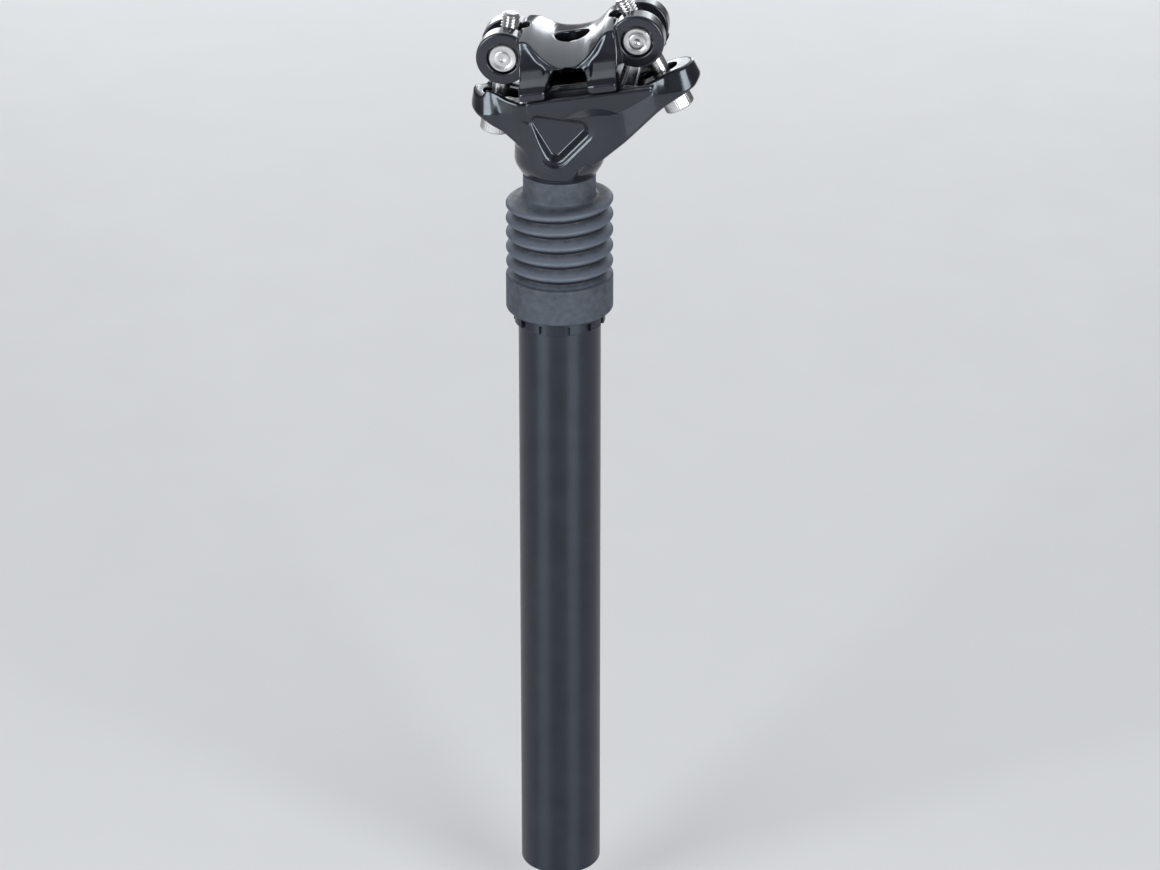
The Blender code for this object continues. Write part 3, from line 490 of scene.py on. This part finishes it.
def loft(name, rings, heights, angles, matrix, closed=False, painted_fold_light=None):
    """Rings of radii (ring, angle) at heights (ring, angle), joined in order. Radius 0 closes an end."""
    rings = np.broadcast_to(rings, (len(rings), len(angles)))
    heights = np.broadcast_to(heights, rings.shape)
    points = np.stack([rings * np.cos(angles), rings * np.sin(angles), heights], axis=2)
    steps = np.hypot(np.diff(rings.mean(1)), np.diff(heights.mean(1)))
    runs = np.repeat(np.concatenate([[0.0], np.cumsum(steps)]), len(angles))
    count, sides = rings.shape
    rows = np.arange(count if closed else count - 1)[:, None] * sides
    columns = np.arange(sides)[None, :]
    ahead = (columns + 1) % sides
    above = (rows + sides) % (count * sides)
    faces = np.stack([rows + columns, rows + ahead, above + ahead, above + columns], axis=2).reshape(-1, 4)
    values = {"run": runs}
    if painted_fold_light is not None:
        values["painted_fold_light"] = np.repeat(painted_fold_light, sides)
    return add_object(name, points.reshape(-1, 3), faces, matrix, **values)


def turned(name, corners, matrix=Matrix.Identity(4), sides=SIDES):
    """A closed outline of (radius, height, rounding) corners turned about Z."""
    outline = fillet(corners, 15)
    return loft(name, outline[:, :1], outline[:, 1:], even_angles(sides), matrix, closed=True)


def hexagon(across_flats, angles):
    """Radius of a hexagon at each angle."""
    from_middle = (angles + math.pi / 6) % (math.pi / 3) - math.pi / 6
    return across_flats / 2 / np.cos(from_middle)


def outer_tube():
    rim = 0.35
    return turned("outer_tube_visual", [
        (TUBE_BORE, 0.0, rim), (TUBE_RADIUS, 0.0, 1.6), (TUBE_RADIUS, 206.0, 0.25), (TUBE_NECK, 206.3, 0.1),
        (TUBE_NECK, 212.0, rim), (TUBE_BORE, 212.0, rim),
    ])


def notched_angles(count, half_width, radius):
    """Angles with a close pair at each notch's edges and a few between."""
    reach = half_width / radius
    step = 0.004
    angles = []
    for index in range(count):
        centre = math.tau * (index + 0.5) / count
        angles += [centre - reach - step, centre - reach + step, centre]
        angles += [centre + reach - step, centre + reach + step]
        free = math.tau / count - 2 * (reach + step)
        angles += [centre + reach + step + free * part / 8 for part in range(1, 8)]
    return np.array(angles)


def top_cap_nut():
    low, high, outer, notch_floor = 204.5, 217.8, 15.1, TUBE_RADIUS + 0.35
    count, half_width, notch_top = 12, 1.2, 207.5
    angles = notched_angles(count, half_width, outer)
    outline = fillet([
        (12.9, 206.6, 0), (13.9, 206.6, 0), (13.9, low, 0.15), (outer, low, 0.35), (outer, notch_top, 0),
        (outer, notch_top + 0.05, 0), (outer, high, 0.6), (10.6, high, 0.4), (10.6, 216.4, 0),
        (12.9, 216.4, 0),
    ], 15)
    radii, heights = np.repeat(outline[:, :1], len(angles), 1), outline[:, 1:]
    off_centre = (angles * count / math.tau) % 1 - 0.5
    in_notch = np.abs(off_centre) * math.tau / count < half_width / outer
    low_enough = (heights < notch_top + 0.01) & (radii > notch_floor)
    radii = np.where(in_notch[None, :] & low_enough, notch_floor, radii)
    return loft("top_cap_nut_visual", radii, heights, angles, Matrix.Identity(4), closed=True)


BOOT_FOOT = 221.6
BOOT_HEAD = 249.6
FIRST_CREST = 225.4
LAST_CREST = 246.6
FOLD_PITCH = 5.3
CREST = 17.6
VALLEY = 14.9
BOOT_WALL = 0.8
FLANGE_TILT = math.tan(math.radians(3.3))


def boot_cuff():
    return turned("boot_cuff", [
        (15.4, 209.1, 0.4), (17.65, 209.1, 0.9), (17.65, 221.2, 0.8), (16.4, BOOT_FOOT, 0.2),
        (15.5, BOOT_FOOT, 0.1), (15.5, 218.6, 0.3),
    ])


def boot_neck():
    return turned("boot_neck", [
        (10.3, BOOT_HEAD, 0.05), (11.9, BOOT_HEAD, 0.05), (11.9, 256.6, 0.5), (10.3, 256.6, 0.4),
    ])


def fold_profile():
    """Outer line of the bellows: round crests, narrow valleys and a shallow cone on top."""
    points = [(16.4, BOOT_FOOT)]
    for height in np.arange(222.2, LAST_CREST + 0.01, FOLD_PITCH / 16):
        wave = 0.5 + 0.5 * math.cos(math.tau * (height - FIRST_CREST) / FOLD_PITCH)
        points.append((VALLEY + (CREST - VALLEY) * wave ** 0.8, height))
    points += [
        (17.55, 246.95), (17.3, 247.3), (16.9, 247.55), (16.2, 247.8), (15.0, 248.05), (13.8, 248.25),
        (12.9, 248.5), (12.3, 248.85), (12.0, 249.2), (11.9, BOOT_HEAD),
    ]
    return np.array(points)


def boot_bellows():
    outer = fold_profile()
    slope = np.gradient(outer, axis=0)
    inward = np.stack([-slope[:, 1], slope[:, 0]], axis=1) / np.linalg.norm(slope, axis=1)[:, None]
    inner = outer + inward * BOOT_WALL
    inner[:, 1] = np.clip(inner[:, 1], BOOT_FOOT, BOOT_HEAD)
    inner[[0, -1], 1] = BOOT_FOOT, BOOT_HEAD
    outline = np.concatenate([outer, inner[::-1]])
    angles = even_angles(SIDES)
    rise = np.clip((outline[:, 1] - BOOT_FOOT) / (LAST_CREST - BOOT_FOOT), 0, 1)
    spread = np.clip((outline[:, 0] - 11.9) / 3.0, 0, 1)
    tilt = (rise ** 1.6 * spread)[:, None] * FLANGE_TILT * outline[:, :1] * np.cos(angles)
    heights = np.clip(outline[:, 1:] + tilt, BOOT_FOOT, BOOT_HEAD)
    # Painted light: lightest just above each fold's crest, where the overhead light falls, and darkest down in
    # the folds. On the cone above the last crest it runs from mid tone inside to a painted highlight towards
    # the rim.
    painted_fold_light = np.cos(math.tau * ((outline[:, 1] - FIRST_CREST) / FOLD_PITCH - 0.12))
    painted_fold_light = np.where(outline[:, 1] > LAST_CREST, np.clip((outline[:, 0] - 14.6) / 3, 0, 1), painted_fold_light)
    return loft("boot_bellows", outline[:, :1], heights, angles, Matrix.Identity(4), True, painted_fold_light)


SPRING_FOOT = 34.3
SPRING_HEAD = 145.7
SPRING_TURNS = 12


def spring_half(name, upper):
    """Half the coil's turns. The two halves meet end to end at mid-height."""
    wire, radius, per_turn, round_wire = 1.5, 8.0, 48, 16
    low, high = SPRING_FOOT + wire, SPRING_HEAD - wire
    closed_rise = 1.1 * 2 * wire
    turns = np.linspace(0, SPRING_TURNS / 2, per_turn * SPRING_TURNS // 2 + 1)
    open_rise = (high - low - 2 * closed_rise) / (SPRING_TURNS - 2)
    rise = np.where(turns < 1, closed_rise * turns, closed_rise + open_rise * (turns - 1))
    if upper:
        turns, rise = SPRING_TURNS - turns[::-1], high - low - rise[::-1]
    angles = math.tau * turns
    round_angles = even_angles(round_wire)
    reach = radius + wire * np.cos(round_angles)[None, :]
    x, y = reach * np.cos(angles)[:, None], reach * np.sin(angles)[:, None]
    z = (low + rise)[:, None] + wire * np.sin(round_angles)[None, :]
    points = np.stack([x, y, z], axis=2).reshape(-1, 3)
    rows = np.arange(len(turns) - 1)[:, None] * round_wire
    columns = np.arange(round_wire)[None, :]
    ahead = (columns + 1) % round_wire
    above = rows + round_wire
    faces = np.stack([rows + columns, rows + ahead, above + ahead, above + columns], axis=2).reshape(-1, 4)
    item = add_object(name, points, faces, Matrix.Identity(4))
    shape = bmesh.new()
    shape.from_mesh(item.data)
    bmesh.ops.holes_fill(shape, edges=[edge for edge in shape.edges if edge.is_boundary])
    bmesh.ops.recalc_face_normals(shape, faces=shape.faces)
    shape.to_mesh(item.data)
    shape.free()
    return item


def preload_plug():
    """A disc with a hexagon socket below."""
    low, high, radius, depth = 14.0, 29.7, 10.9, 8.0
    angles = even_angles(SMALL_SIDES * 2)
    socket = hexagon(8.0, angles)
    flat = np.ones_like(angles)
    rings = [0 * flat, socket, socket, flat * 4.9, flat * 10.3, flat * 10.75, flat * radius]
    heights = [low + depth, low + depth, low + 0.35, low, low, low + 0.15, low + 0.6]
    for groove in np.arange(low + 1.5, high - 1.5, 1.5):
        rings += [flat * radius, flat * (radius - 0.5), flat * radius]
        heights += [groove, groove + 0.6, groove + 1.2]
    rings += [flat * radius, flat * (radius - 0.6), 0 * flat]
    heights += [high - 0.6, high, high]
    heights = np.array(heights)[:, None]
    return loft("preload_plug_visual", np.array(rings), heights, angles, Matrix.Identity(4))


def clamp_bolt(side):
    """Socket-head bolt on the washer's swivel axis: knurled head, hexagon socket, shank, thread and tip."""
    under_head = SWIVEL_DROP - BOLT_SEAT
    low, tip = under_head - BOLT_HEAD_HEIGHT, SWIVEL_DROP + BOLT_TIP
    thread_foot = SWIVEL_DROP - 8.5
    major, depth, hex_depth, teeth = 2.9, 0.42, 3.4, 36
    angles = even_angles(SIDES)
    flat = np.ones_like(angles)
    socket = hexagon(5.0, angles)
    knurl = BOLT_HEAD_RADIUS - 0.16 * np.abs(np.sin(angles * teeth / 2))
    rings = [0 * flat, socket * 0.6, socket, socket, flat * 3.1, flat * 4.4, flat * 4.72, knurl, knurl]
    heights = [low + hex_depth + 0.6, low + hex_depth, low + hex_depth, low + 0.3, low, low, low + 0.22]
    heights += [low + 0.6, under_head - 0.9]
    rings += [flat * 4.82, flat * 4.82, flat * 4.6, flat * 3.1, flat * major, flat * major]
    heights += [under_head - 0.7, under_head - 0.15, under_head, under_head, under_head + 0.3]
    heights += [thread_foot - 0.6]
    for height in np.arange(thread_foot, tip + 0.001, THREAD_PITCH / 8):
        phase = (height / THREAD_PITCH - angles / math.tau) % 1
        thread = np.clip(np.abs(2 * phase - 1) * 1.3 - 0.15, 0, 1)
        cone = (tip - height) * 1.1 + 2.05
        started = min(1.0, (height - thread_foot) / 1.0)
        rings.append(np.minimum(major - depth * thread * started, cone))
        heights.append(height)
    rings += [flat * 1.2, 0 * flat]
    heights += [tip, tip]
    name = f"clamp_bolt_{side_name(side)}_visual"
    return loft(name, np.array(rings), np.array(heights)[:, None], angles, bolt_matrix(side))


def barrel_nut(side):
    """A cross pin with a faced end each side and the bolt's hole through it."""
    centre = Vector(JOINTS[f"{side_name(side)}_nut_turn"]["pos_m"])
    lie_down = Matrix.Translation(centre) @ Matrix.Rotation(math.radians(90), 4, "X")
    half, edge = NUT_HALF_LENGTH, 0.55
    end = [(0.0, 0.32), (0.7, 0.14), (1.1, 0.0), (2.5, 0.0), (2.62, 0.07), (2.74, 0.0)]
    end += [(NUT_RADIUS - edge, 0.0)]
    face = [(radius, half - drop, 0) for radius, drop in end]
    outline = [(radius, -height, 0) for radius, height, _ in face]
    outline += [(NUT_RADIUS, edge - half, 0), (NUT_RADIUS, half - edge, 0)]
    outline += list(reversed(face))
    nut = turned(f"barrel_nut_{side_name(side)}_visual", outline, lie_down, SMALL_SIDES)
    bore = 3.45
    hole = turned("bore", [(0, -9, 0), (bore, -9, 0), (bore, 9, 0), (0, 9, 0)], Matrix.Identity(4), 48)
    hole.data.transform(bolt_matrix(side) @ Matrix.Translation((0, 0, SWIVEL_DROP * MM)))
    for modifier in list(nut.modifiers):
        nut.modifiers.remove(modifier)
    drill = nut.modifiers.new("bore", "BOOLEAN")
    drill.object = hole
    drill.solver = "EXACT"
    bpy.context.view_layer.update()
    drilled = bpy.data.meshes.new_from_object(nut.evaluated_get(bpy.context.evaluated_depsgraph_get()))
    nut.modifiers.clear()
    nut.data = drilled
    bpy.data.objects.remove(hole, do_unlink=True)
    nut.data.set_sharp_from_angle(angle=math.radians(38))
    return nut


def washer_field(x, y, z):
    flat = SWIVEL_DROP - BOLT_SEAT + RUNNING_GAP
    disc = both(np.hypot(x, z) - WASHER_RADIUS, flat - z, 0.25)
    solid = both(disc, y - WASHER_HALF_WIDTH, 0.25)
    return cut(solid, np.hypot(x, y) - 3.15 + 0 * z, 0.2)


def bolt_washer(side):
    reach = WASHER_RADIUS + 0.4
    name = f"bolt_washer_{side_name(side)}_visual"
    return forged(name, washer_field, (-reach, 0, 4.0), (reach, 5.5, reach), bolt_matrix(side), FINE_CELL)


# --- Materials ---


BLUE_CAST = (0.80, 0.90, 1.0)  # of the black finishes' reflections


def new_material(name, colour, roughness, metallic=0.0, coat=0.0):
    material = bpy.data.materials.new(name)
    material.use_nodes = True
    shader = material.node_tree.nodes["Principled BSDF"]
    shader.inputs["Base Color"].default_value = (*colour, 1)
    shader.inputs["Roughness"].default_value = roughness
    shader.inputs["Metallic"].default_value = metallic
    shader.inputs["Coat Weight"].default_value = coat
    shader.inputs["Coat Roughness"].default_value = 0.12
    return material


def wire(material, source, target, slot_name):
    """Links one node's first output, or a socket, to another node's input."""
    socket = source.outputs[0] if hasattr(source, "outputs") else source
    material.node_tree.links.new(socket, target.inputs[slot_name])


def grain(material, scale, detail=3.0, stretch=(1, 1, 1)):
    """Three-dimensional noise in the object's own coordinates. scale is in lumps a metre."""
    nodes = material.node_tree.nodes
    place = nodes.new("ShaderNodeTexCoord")
    mapping = nodes.new("ShaderNodeMapping")
    mapping.inputs["Scale"].default_value = stretch
    noise = nodes.new("ShaderNodeTexNoise")
    noise.inputs["Scale"].default_value = scale
    noise.inputs["Detail"].default_value = detail
    wire(material, place.outputs["Object"], mapping, "Vector")
    wire(material, mapping, noise, "Vector")
    return noise.outputs["Fac"]


def turning_marks(material, scale):
    """Noise along the profile only, so it draws rings round a turned piece."""
    nodes = material.node_tree.nodes
    run = nodes.new("ShaderNodeAttribute")
    run.attribute_name = "run"
    noise = nodes.new("ShaderNodeTexNoise")
    noise.noise_dimensions = "1D"
    noise.inputs["Scale"].default_value = scale
    noise.inputs["Detail"].default_value = 4.0
    wire(material, run.outputs["Fac"], noise, "W")
    return noise.outputs["Fac"]


def spread(material, value, low, high, slot_name):
    """Maps the middle of a noise to a range on one of the shader's inputs."""
    nodes = material.node_tree.nodes
    span = nodes.new("ShaderNodeMapRange")
    span.inputs["From Min"].default_value = 0.3
    span.inputs["From Max"].default_value = 0.7
    span.inputs["To Min"].default_value = low
    span.inputs["To Max"].default_value = high
    wire(material, value, span, "Value")
    wire(material, span, nodes["Principled BSDF"], slot_name)


def tint(material, value, dark, light):
    """Maps a noise to a colour between two."""
    nodes = material.node_tree.nodes
    ramp = nodes.new("ShaderNodeValToRGB")
    ramp.color_ramp.elements[0].position = 0.35
    ramp.color_ramp.elements[1].position = 0.65
    ramp.color_ramp.elements[0].color = (*dark, 1)
    ramp.color_ramp.elements[1].color = (*light, 1)
    wire(material, value, ramp, "Fac")
    wire(material, ramp, nodes["Principled BSDF"], "Base Color")


def bump(material, value, distance, strength=1.0):
    """Adds relief in metres, over any relief already there."""
    nodes = material.node_tree.nodes
    shader = nodes["Principled BSDF"]
    relief = nodes.new("ShaderNodeBump")
    relief.inputs["Distance"].default_value = distance
    relief.inputs["Strength"].default_value = strength
    if shader.inputs["Normal"].links:
        wire(material, shader.inputs["Normal"].links[0].from_socket, relief, "Normal")
    wire(material, value, relief, "Height")
    wire(material, relief, shader, "Normal")


def gloss_black():
    material = new_material("gloss_black_forging", (0.008, 0.008, 0.0095), 0.2, coat=0.3)
    material.node_tree.nodes["Principled BSDF"].inputs["Specular Tint"].default_value = (*BLUE_CAST, 1)
    spread(material, grain(material, 240), 0.17, 0.27, "Roughness")
    tint(material, grain(material, 60), (0.006, 0.0065, 0.0085), (0.010, 0.0105, 0.0135))
    bump(material, grain(material, 700, 2.0), 0.00005, 0.35)
    return material


def black_anodised():
    """Fine turning marks round the tube spread its highlights along it."""
    material = new_material("black_anodised_tube", (0.010, 0.010, 0.013), 0.36)
    shader = material.node_tree.nodes["Principled BSDF"]
    shader.inputs["Specular Tint"].default_value = (*BLUE_CAST, 1)
    shader.inputs["Anisotropic"].default_value = 0.85
    shader.inputs["Anisotropic Rotation"].default_value = 0.25
    around = material.node_tree.nodes.new("ShaderNodeTangent")
    around.direction_type = "RADIAL"
    around.axis = "Z"
    wire(material, around, shader, "Tangent")
    spread(material, turning_marks(material, 4.0), 0.29, 0.36, "Roughness")
    tint(material, grain(material, 90), (0.008, 0.0085, 0.012), (0.012, 0.013, 0.018))
    bump(material, turning_marks(material, 7.0), 0.00002, 0.25)
    bump(material, grain(material, 2600, 2.0), 0.00002, 0.3)
    return material


def boot_rubber():
    """Matt rubber with a random mottle, painted highlights on the upper sides of its fold crests and painted
    shade down in the folds.
    """
    material = new_material("boot_rubber", (0.036, 0.038, 0.044), 0.56)
    nodes = material.node_tree.nodes
    # Painted light and shade of the folds, read from the bellows' points.
    painted_fold_light = nodes.new("ShaderNodeAttribute")
    painted_fold_light.attribute_name = "painted_fold_light"
    mottle = nodes.new("ShaderNodeMath")
    mottle.operation = "MULTIPLY_ADD"
    mottle.inputs[1].default_value = 0.22
    mottle.inputs[2].default_value = 0.39
    wire(material, grain(material, 420), mottle, 0)
    shade = nodes.new("ShaderNodeMath")
    shade.operation = "MULTIPLY_ADD"
    shade.inputs[1].default_value = 0.2
    wire(material, painted_fold_light.outputs["Fac"], shade, 0)
    wire(material, mottle, shade, 2)
    spread(material, grain(material, 500), 0.48, 0.62, "Roughness")
    # Colour from painted fold shade to painted fold highlight, mixed with the random mottle.
    tint(material, shade, (0.011, 0.0125, 0.017), (0.084, 0.095, 0.118))
    bump(material, grain(material, 1900, 4.0), 0.00006, 0.5)
    nodes["Principled BSDF"].inputs["Specular IOR Level"].default_value = 0.3
    return material


def bright_steel():
    material = new_material("bright_steel", (0.66, 0.66, 0.66), 0.24, 1.0)
    spread(material, turning_marks(material, 9.0), 0.16, 0.32, "Roughness")
    tint(material, grain(material, 300), (0.58, 0.58, 0.585), (0.72, 0.72, 0.715))
    bump(material, turning_marks(material, 14.0), 0.00004, 0.4)
    return material


def spring_steel():
    material = new_material("spring_steel", (0.30, 0.31, 0.33), 0.34, 1.0)
    spread(material, grain(material, 400), 0.26, 0.42, "Roughness")
    tint(material, grain(material, 150), (0.25, 0.255, 0.27), (0.36, 0.365, 0.38))
    return material


def moulded(name, dark, light, roughness):
    """A moulded plastic or elastomer with a fine matt skin."""
    material = new_material(name, light, roughness)
    spread(material, grain(material, 600), roughness - 0.06, roughness + 0.08, "Roughness")
    tint(material, grain(material, 180), dark, light)
    bump(material, grain(material, 2200), 0.00004, 0.4)
    return material


LOOKS = {
    "gloss_black_forging": gloss_black(),
    "black_anodised_tube": black_anodised(),
    "boot_rubber": boot_rubber(),
    "bright_steel": bright_steel(),
    "spring_steel": spring_steel(),
    "natural_plastic": moulded("natural_plastic", (0.60, 0.58, 0.52), (0.68, 0.66, 0.60), 0.46),
    "dark_plastic": moulded("dark_plastic", (0.035, 0.035, 0.04), (0.05, 0.05, 0.056), 0.48),
    "amber_elastomer": moulded("amber_elastomer", (0.42, 0.21, 0.035), (0.55, 0.30, 0.06), 0.52),
}

# --- Every piece: what it rides on, what it stands for and its finish ---


def show(item, body, look, *nodes):
    item.data.materials.clear()
    item.data.materials.append(LOOKS[look])
    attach(item, body)
    if nodes:
        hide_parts(*nodes)
    return item


def keep(node, look):
    """A CAD node that stays as it is, with a finish."""
    item = frame["nodes"][node]
    item.data.materials.clear()
    item.data.materials.append(LOOKS[look])


def squashed(item):
    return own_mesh(item)


def fixed_pieces():
    show(outer_tube(), "lower_tube", "black_anodised_tube", "outer_tube")
    show(top_cap_nut(), "lower_tube", "black_anodised_tube", "top_cap_nut")
    show(boot_cuff(), "lower_tube", "boot_rubber", "bellows_boot")
    bellows = show(boot_bellows(), "lower_tube", "boot_rubber")
    squashed(bellows)
    upper = show(spring_half("main_spring_upper", True), "lower_tube", "spring_steel", "main_spring")
    squashed(upper)
    lower = show(spring_half("main_spring_lower", False), "lower_tube", "spring_steel")
    squashed(lower)


def sliding_pieces():
    head = forged("head_forging_visual", head_field, (-36, 0, 254), (48, 17, 302), Matrix.Identity(4))
    show(head, "sliding_head", "gloss_black_forging", "head_forging")
    show(boot_neck(), "sliding_head", "boot_rubber")
    show(preload_plug(), "preload_plug", "black_anodised_tube", "preload_plug")


def clamp_pieces():
    cradle = forged("lower_cradle_visual", cradle_field, (-18, 0, -22), (30, 28.5, -6), CLAMP)
    show(cradle, "saddle_clamp", "gloss_black_forging", "lower_cradle")
    clamp = forged("upper_clamp_visual", clamp_field, (-33, 0, -12), (33, 28.5, 11), CLAMP)
    show(clamp, "saddle_clamp", "gloss_black_forging", "upper_clamp")
    for side in (-1, 1):
        name = side_name(side)
        show(barrel_nut(side), f"{name}_nut", "bright_steel", f"barrel_nut_{name}")
        show(clamp_bolt(side), f"{name}_bolt", "bright_steel", f"clamp_bolt_{name}")
        show(bolt_washer(side), f"{name}_bolt", "bright_steel", f"bolt_washer_{name}")


def hidden_pieces():
    keys = [f"anti_rotation_key_{index}" for index in range(1, 5)]
    for node in ("stanchion_tube", "retaining_ring", *keys):
        keep(node, "bright_steel")
    for node in ("upper_guide_bushing", "lower_guide_bushing"):
        keep(node, "natural_plastic")
    for node in ("upper_spring_seat", "lower_spring_seat"):
        keep(node, "dark_plastic")
    for node in ("elastomer_core", "top_out_bumper"):
        keep(node, "amber_elastomer")
    keep("wiper_seal", "boot_rubber")


# --- Floor, lights and camera ---

CAMERA_AZIMUTH = math.radians(6.8)
CAMERA_ELEVATION = math.radians(25.2)
CAMERA_DISTANCE = 1.503
CAMERA_SIDESTEP = 0.00668
SENSOR = 36.0
LENS = 139.66
TARGET = Vector((0, 0, 0.1619))


def directions(azimuth, elevation):
    """Right, up and back of someone who looks from an azimuth and elevation."""
    right = Vector((math.cos(azimuth), math.sin(azimuth), 0))
    back = Vector((math.sin(azimuth) * math.cos(elevation), -math.cos(azimuth) * math.cos(elevation), 0))
    back.z = math.sin(elevation)
    return right, back.cross(right), back


def placed(item, target, azimuth, elevation, distance, sidestep=0.0):
    right, up, back = directions(azimuth, elevation)
    item.matrix_world = Matrix((right, up, back)).transposed().to_4x4()
    item.matrix_world.translation = target + back * distance + right * sidestep
    bpy.context.scene.collection.objects.link(item)
    return item


def camera():
    data = bpy.data.cameras.new("camera")
    data.sensor_width = SENSOR
    data.lens = LENS
    eye = bpy.data.objects.new("camera", data)
    placed(eye, TARGET, CAMERA_AZIMUTH, CAMERA_ELEVATION, CAMERA_DISTANCE, CAMERA_SIDESTEP)
    bpy.context.scene.camera = eye


def soft_light(name, azimuth, elevation, width, height, power, distance=1.6):
    data = bpy.data.lights.new(name, "AREA")
    data.shape = "RECTANGLE"
    data.size, data.size_y = width, height
    data.color = (0.93, 0.965, 1.0)
    data.energy = power
    item = bpy.data.objects.new(name, data)
    item.visible_camera = False
    placed(item, TARGET, math.radians(azimuth), math.radians(elevation), distance)


def studio():
    soft_light("side_left", -39, 17, 0.85, 0.95, 25)
    soft_light("side_right", 43, 17, 0.85, 0.95, 25)
    soft_light("overhead_back", 186, 50, 2.4, 2.2, 22, 1.8)
    soft_light("rim_left", -158, 12, 0.4, 0.7, 4)
    soft_light("rim_right", 172, 12, 0.4, 0.7, 4)
    world = bpy.data.worlds.new("studio")
    world.use_nodes = True
    world.node_tree.nodes["Background"].inputs["Color"].default_value = (0.94, 0.97, 1.0, 1)
    world.node_tree.nodes["Background"].inputs["Strength"].default_value = 0.17
    bpy.context.scene.world = world
    bpy.context.scene.view_settings.view_transform = "Standard"


def floor():
    """A wide pale sheet just under the tube."""
    reach, level = 3.0, -0.02
    corners = [(x * reach, y * reach, level) for x, y in ((-1, -1), (1, -1), (1, 1), (-1, 1))]
    mesh = bpy.data.meshes.new("floor")
    mesh.from_pydata(corners, [], [(0, 1, 2, 3)])
    sheet = bpy.data.objects.new("floor", mesh)
    bpy.context.scene.collection.objects.link(sheet)
    material = new_material("pale_floor", (0.57, 0.565, 0.565), 0.8)
    spread(material, grain(material, 30), 0.76, 0.86, "Roughness")
    mesh.materials.append(material)


fixed_pieces()
sliding_pieces()
clamp_pieces()
hidden_pieces()
camera()
studio()
floor()
